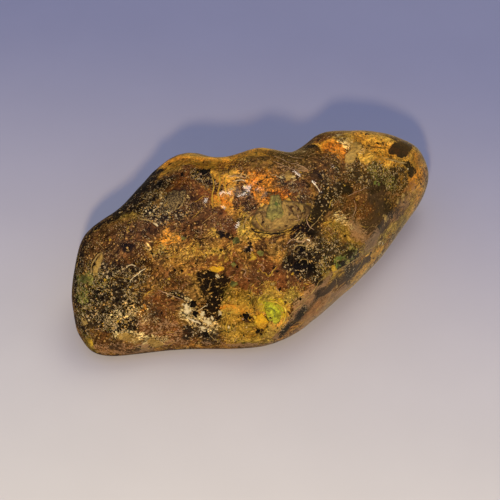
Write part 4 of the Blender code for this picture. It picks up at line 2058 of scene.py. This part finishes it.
SEEN_CRUMBS = (
    *series(
        Crumb,
        Tone.BLACK,
        ((246, 316), 0.78, 1.3, 0.31), ((250, 318), 0.50, 1.2, 0.31), ((244, 320), 0.40, 1.2, 0.31),
        ((241, 316), 0.34, 1.4, 0.31),
    ),
    Crumb(Tone.BROWN, (247, 321), 0.50, 1.3, 0.31),
    Crumb(Tone.YELLOW, (255, 317), 0.50, 1.5, 0.25),
    Crumb(Tone.TAN, (249, 314), 0.45),
    Crumb(Tone.PINK, (243, 319), 0.40),
    Crumb(Tone.BLACK, (248, 249), 0.90, 1.3),
    Crumb(Tone.PINK, (251, 250), 0.60),
    Crumb(Tone.PINK, (246, 247), 0.40),
    Crumb(Tone.YELLOW, (253, 257), 0.90, 1.3),
    Crumb(Tone.BLACK, (237, 267), 0.45),
    Crumb(Tone.BLACK, (258, 331), 0.55, 1.5),
    Crumb(Tone.BROWN, (262, 330), 0.50, 1.3),
    Crumb(Tone.BROWN, (270, 318), 0.34, 1.5, 0.12),
    Crumb(Tone.BLACK, (261, 334), 0.45),
    *series(
        Crumb,
        Tone.CREAM,
        ((187, 307), 0.90, 1.2), ((187, 311), 0.90, 1.2), ((202, 314), 0.80), ((208, 322), 1.00, 1.2),
        ((203, 328), 0.80), ((212, 318), 0.60), ((220, 313), 0.55, 1.6),
    ),
    Crumb(Tone.TAN, (196, 309), 0.80),
    *series(
        Crumb,
        Tone.BLACK,
        ((193, 304), 1.00, 1.2, 0.28), ((195, 313), 0.90, 1.2, 0.28), ((207, 335), 0.90, 1.6),
        ((175, 270), 0.50), ((182, 271), 0.55), ((125, 245), 0.50, 1.3), ((152, 175), 1.30, 1.3),
        ((160, 183), 0.90),
    ),
    *series(
        Crumb,
        Tone.CREAM,
        # Partly pale grit and partly painted highlight: these small pale crumbs sit where the polish glints.
        ((146, 211), 0.35), ((150, 213), 0.40), ((154, 210), 0.30),
    ),
    Crumb(Tone.TAN, (142, 213), 0.35),
    Crumb(Tone.BLACK, (204, 172), 1.00, 1.4),
    Crumb(Tone.PINK, (201, 174), 0.40),
    Crumb(Tone.TAN, (208, 178), 0.45),
    Crumb(Tone.BLACK, (411, 169), 1.00, 1.3),
    # Painted highlight: a pale fleck on the black crumb where the polish glints.
    Crumb(Tone.CREAM, (408, 169), 0.30, 1.0, 0.25),
    Crumb(Tone.BLACK, (347, 190), 1.00, 1.1),
    Crumb(Tone.BROWN, (314, 176), 1.30, 1.5),
    Crumb(Tone.BLACK, (379, 227), 0.70, 1.3),
    Crumb(Tone.GREEN, (375, 183), 0.60),
    Crumb(Tone.GREEN, (379, 184), 0.50),
    Crumb(Tone.TAN, (389, 180), 0.45),
    *series(
        Crumb,
        Tone.BLACK,
        ((306, 264), 1.10, 1.3), ((313, 268), 1.00, 1.2), ((297, 267), 0.90, 1.3), ((302, 250), 0.80),
        ((350, 254), 1.10, 1.5), ((342, 264), 0.90, 1.4),
    ),
    Crumb(Tone.GREEN, (340, 258), 0.80, 1.4),
    Crumb(Tone.YELLOW, (335, 269), 0.90, 1.3),
    Crumb(Tone.GREEN, (337, 266), 0.60, 1.4),
    *series(
        Crumb,
        Tone.TAN,
        ((322, 262), 0.50), ((398, 201), 0.80, 1.4), ((403, 196), 0.80), ((386, 219), 1.00, 1.6),
        ((84, 322), 0.90, 1.2),
    ),
    Crumb(Tone.YELLOW, (91, 343), 0.90, 1.5),
    Crumb(Tone.CREAM, (78, 311), 0.30),
    Crumb(Tone.CREAM, (89, 320), 0.35),
    Crumb(Tone.TAN, (136, 341), 0.80, 1.3),
    Crumb(Tone.CREAM, (120, 313), 0.50),
    Crumb(Tone.TAN, (126, 322), 0.60),
    Crumb(Tone.TAN, (113, 328), 0.55),
    Crumb(Tone.BLACK, (222, 236), 0.50, 1.7),
    Crumb(Tone.GREEN, (276, 204), 0.50, 1.4, 0.17),
    Crumb(Tone.BROWN, (292, 207), 0.40, 1.6, 0.15),
    Crumb(Tone.BROWN, (298, 209), 0.34, 1.4, 0.15),
    Crumb(Tone.BLACK, (263, 222), 0.34, 1.5, 0.15),
    Crumb(Tone.BROWN, (286, 226), 0.36, 1.5, 0.15),
    Crumb(Tone.TAN, (270, 227), 0.30, 1.5, 0.15),
    Crumb(Tone.BROWN, (303, 213), 0.40, 1.5, 0.15),
)


@dataclass
class Crumbs:
    """Lumps of debris, those that the camera sees and others all over the lump."""

    sight: Sight
    cloud: Object
    effects: Effects
    strays: int = 500
    satellites: int = 6  # chips round a large crumb
    large: float = 0.7  # millimetres: a crumb over this has all of its chips
    flatness: float = 0.40  # a crumb's thickness, as a share of its width
    seed: int = 23

    def ball(self, subdivisions: int) -> tuple[np.ndarray, np.ndarray]:
        """Makes a round ball of width 1.

        Args:
            subdivisions: How finely it is divided.

        Returns:
            Its points and its triangles.
        """
        whole = bmesh.new()
        bmesh.ops.create_icosphere(whole, subdivisions=subdivisions, radius=0.5)
        whole.verts.ensure_lookup_table()
        points = np.array([vert.co[:] for vert in whole.verts])
        faces = np.array([[vert.index for vert in face.verts] for face in whole.faces])
        whole.free()
        return points, faces

    def shaped(
        self, ball: np.ndarray, across: float, stretch: float, normal: np.ndarray, turn: float
    ) -> np.ndarray:
        """A ragged crumb, flat along the surface's normal.

        Args:
            ball: The ball's points.
            across: Its width in metres.
            stretch: How much longer it is than wide.
            normal: The surface's normal.
            turn: Which way its long side points, in radians.

        Returns:
            Its points about its middle.
        """
        rough = np.array([noise.noise((place * 3.1 + turn * 9.0).tolist()) for place in ball])
        rough += 0.6 * np.array([noise.noise((place * 8.3 - turn * 5.0).tolist()) for place in ball])
        points = ball * (1 + 1.3 * rough[:, None]) * across * np.array((stretch, 1.0, self.flatness))
        side = np.cross(normal, (0.2, 0.1, 0.97) if abs(normal[2]) < 0.9 else (1.0, 0.1, 0.0))
        side /= np.linalg.norm(side)
        ahead = np.cross(normal, side)
        first = side * math.cos(turn) + ahead * math.sin(turn)
        second = np.cross(normal, first)
        return points @ np.array([first, second, normal])

    def build(self) -> list[Object]:
        """Makes the crumbs, one piece for each tone.

        Returns:
            The pieces.
        """
        heaps = {tone: Heap() for tone in Tone}
        ball, faces = self.ball(3)
        small_ball, small_faces = self.ball(2)
        lot = np.random.default_rng(self.seed)
        for turn, crumb in enumerate(SEEN_CRUMBS):
            normal = np.array(self.sight.surface(crumb.pixel)[1])
            middle = np.array(self.sight.under(crumb.pixel, crumb.depth))
            points = self.shaped(ball, 0.8 * crumb.across * MM, crumb.stretch, normal, turn * 1.7)
            heaps[crumb.tone].add(points + middle, faces)
            for _ in range(self.satellites if crumb.across > self.large else 1):
                drift = lot.normal(size=3) * 0.48 * crumb.across * MM
                drift -= normal * (drift @ normal)
                across = crumb.across * lot.uniform(0.18, 0.42) * MM
                stretch = lot.uniform(1.0, 1.9)
                chip = self.shaped(small_ball, across, stretch, normal, lot.uniform(0, 6.28))
                heaps[crumb.tone].add(chip + middle + drift, small_faces)
        points = points_of(self.cloud.data)
        normals = normals_of(self.cloud.data)
        shares = {Tone.BLACK: 0.34, Tone.BROWN: 0.26, Tone.TAN: 0.20, Tone.YELLOW: 0.14, Tone.CREAM: 0.06}
        for _ in range(self.strays):
            spot = lot.integers(len(points))
            tone = draw_one(lot, shares)
            across = 0.25 * 3.2 ** lot.beta(1.0, 2.6) * MM
            stretch = lot.uniform(1.0, 1.8)
            shape = self.shaped(small_ball, across, stretch, normals[spot], lot.uniform(0, 6.28))
            heaps[tone].add(points[spot] + shape, small_faces)
        return seat_heaps("crumbs", heaps, self.effects)


@dataclass
class BarkChip:
    """A dark chip of bark under the far edge of the narrow end."""

    sight: Sight
    effects: Effects
    outline: tuple[Pixel, ...] = (
        (388, 152), (391, 147), (395, 143), (402, 142), (409, 143), (412, 147),
        (409, 151), (407, 156), (401, 158), (396, 155), (391, 154),
    )
    top: float = 0.22  # millimetres deep at its middle
    sag: float = 0.02  # millimetres deeper at its rim
    thickness: float = 0.5  # millimetres
    rings: int = 5

    def build(self) -> Object:
        """Makes the chip: a ragged plate with a fibrous face.

        Returns:
            The piece.
        """
        maker = LensMaker(self.sight, rings=self.rings)
        heap = Heap()
        maker.mesh(Lens(self.outline, self.top, self.sag, self.thickness), heap)
        mesh = heap.mesh("bark_chip")
        points = points_of(mesh)
        grooves = noise_at(points * (0.3, 1.0, 1.0), 0.5, 41) * 0.10
        grooves += noise_at(points, 1.2, 42) * 0.12
        set_points(mesh, points + normals_of(mesh) * (grooves * MM)[:, None])
        face_outward(mesh)
        return seat_piece("bark_chip", mesh, BarkFinish(self.effects).material())


@dataclass(frozen=True)
class Lamp:
    """A small round lamp that faces the lump."""

    name: str
    azimuth: float  # degrees, as the camera's is counted
    elevation: float  # degrees over the table
    distance: float  # metres
    width: float  # metres
    power: float  # watts
    colour: Triple


@dataclass
class Studio:
    """The table, the lights and the camera."""

    viewpoint: Viewpoint
    effects: Effects
    table_side: float = 3.0  # metres
    sky: Colour = (0.28, 0.34, 0.56, 1.0)
    dim_wall: Colour = (0.055, 0.045, 0.040, 1.0)  # what the polish reflects on one side
    warm_wall: Colour = (0.38, 0.24, 0.08, 1.0)  # and on the other
    warm_side: Triple = (1.0, 0.0, 0.0)
    ceiling: Colour = (0.08, 0.08, 0.17, 1.0)
    tabletop: Colour = (0.37, 0.295, 0.21, 1.0)  # the table as the polish shows it
    bright_side: Triple = (0.84, -0.54, 0.0)
    key: Lamp = Lamp("key_lamp", -37, 41, 0.30, 0.02, 0.63, (1.0, 0.75, 0.43))
    fill: Lamp = Lamp("fill_lamp", 122, 56, 0.45, 0.24, 0.58, (1.0, 0.88, 0.58))
    side: Lamp = Lamp("side_lamp", 42, 24, 0.50, 0.30, 0.20, (1.0, 0.84, 0.60))
    glint: Lamp = Lamp(
        "glint_lamp", GLINT_AZIMUTH, GLINT_ELEVATION, GLINT_DISTANCE, 0.020, 0.0065, (1.0, 0.93, 0.82)
    )
    gleam: Lamp = Lamp(
        "gleam_lamp", GLINT_AZIMUTH, GLINT_ELEVATION, GLINT_DISTANCE + 0.01, 0.052, 0.009, (1.0, 0.86, 0.64)
    )

    def add_table(self) -> Object:
        """Makes a plain tabletop at the height that the lump rests on.

        Returns:
            The table.
        """
        mesh = bpy.data.meshes.new("table")
        half = self.table_side / 2
        corners = [(-half, -half, 0), (half, -half, 0), (half, half, 0), (-half, half, 0)]
        mesh.from_pydata(corners, [], [(0, 1, 2, 3)])
        table = link_mesh("table", mesh, TableFinish(self.effects).material())
        table.visible_glossy = False
        return table

    def add_lamp(self, lamp: Lamp) -> Object:
        """Puts a lamp in the scene, facing the lump.

        Args:
            lamp: The lamp's place, size and light.

        Returns:
            The lamp's object.
        """
        data = bpy.data.lights.new(lamp.name, "AREA")
        data.shape = "DISK"
        data.size = lamp.width
        data.energy = lamp.power
        data.color = lamp.colour
        made = bpy.data.objects.new(lamp.name, data)
        facing = Viewpoint(azimuth=math.radians(lamp.azimuth), elevation=math.radians(lamp.elevation))
        direction = facing.backward()
        made.location = direction * lamp.distance
        made.rotation_euler = direction.to_track_quat("Z", "Y").to_euler()
        made.visible_camera = False
        bpy.context.scene.collection.objects.link(made)
        return made

    def add_sky(self) -> None:
        """Even cool light from all round, and a room for the polish to reflect."""
        world = bpy.data.worlds.new("studio")
        world.use_nodes = True
        bench = NodeBench(world.node_tree)
        mirrored = bench.add("LightPath").outputs["Is Glossy Ray"]
        direction = bench.add("TexCoord").outputs["Generated"]
        height = bench.add("SeparateXYZ", Vector=direction).outputs["Z"]
        warm = bench.band(bench.dot(direction, self.warm_side), 0.27, 0.52)
        room = bench.mix(warm, self.dim_wall, self.warm_wall)
        room = bench.mix(bench.band(height, 0.55, 0.95), room, self.ceiling)
        bright = bench.band(bench.dot(direction, self.bright_side), -0.1, 0.5)
        low = bench.math("MULTIPLY", bench.band(height, -0.05, -0.40), bright)
        room = bench.mix(low, room, self.tabletop)
        ground = world.node_tree.nodes["Background"]
        bench.feed(ground.inputs["Color"], bench.mix(mirrored, self.sky, room))
        bpy.context.scene.world = world

    def build(self) -> Object:
        """Sets up the studio.

        Returns:
            The table, its only solid thing.
        """
        table = self.add_table()
        self.add_sky()
        for lamp in (self.key, self.fill, self.side):
            made = self.add_lamp(lamp)
            made.visible_glossy = False
            made.visible_transmission = False
        for lamp in (self.glint, self.gleam):
            self.add_lamp(lamp).visible_diffuse = False
        self.viewpoint.add_camera()
        bpy.context.scene.view_settings.view_transform = "Standard"
        return table


def main() -> None:
    """Builds the lump, its contents and the studio."""
    logging.basicConfig(level=logging.INFO)
    viewpoint = Viewpoint()
    effects = Effects()
    resin = ResinBody(viewpoint).build()
    report(resin)
    sight = Sight(viewpoint, resin)
    cloud, masks = CloudyResin(sight, resin, effects).build()
    report(cloud)
    report(*Grains(cloud, masks, effects).build())
    report(*Pockets(sight, effects).build())
    report(*Threads(sight, cloud, effects).build())
    report(*Crumbs(sight, cloud, effects).build())
    report(BarkChip(sight, effects).build())
    report(Studio(viewpoint, effects).build())


if __name__ == "__main__":
    main()
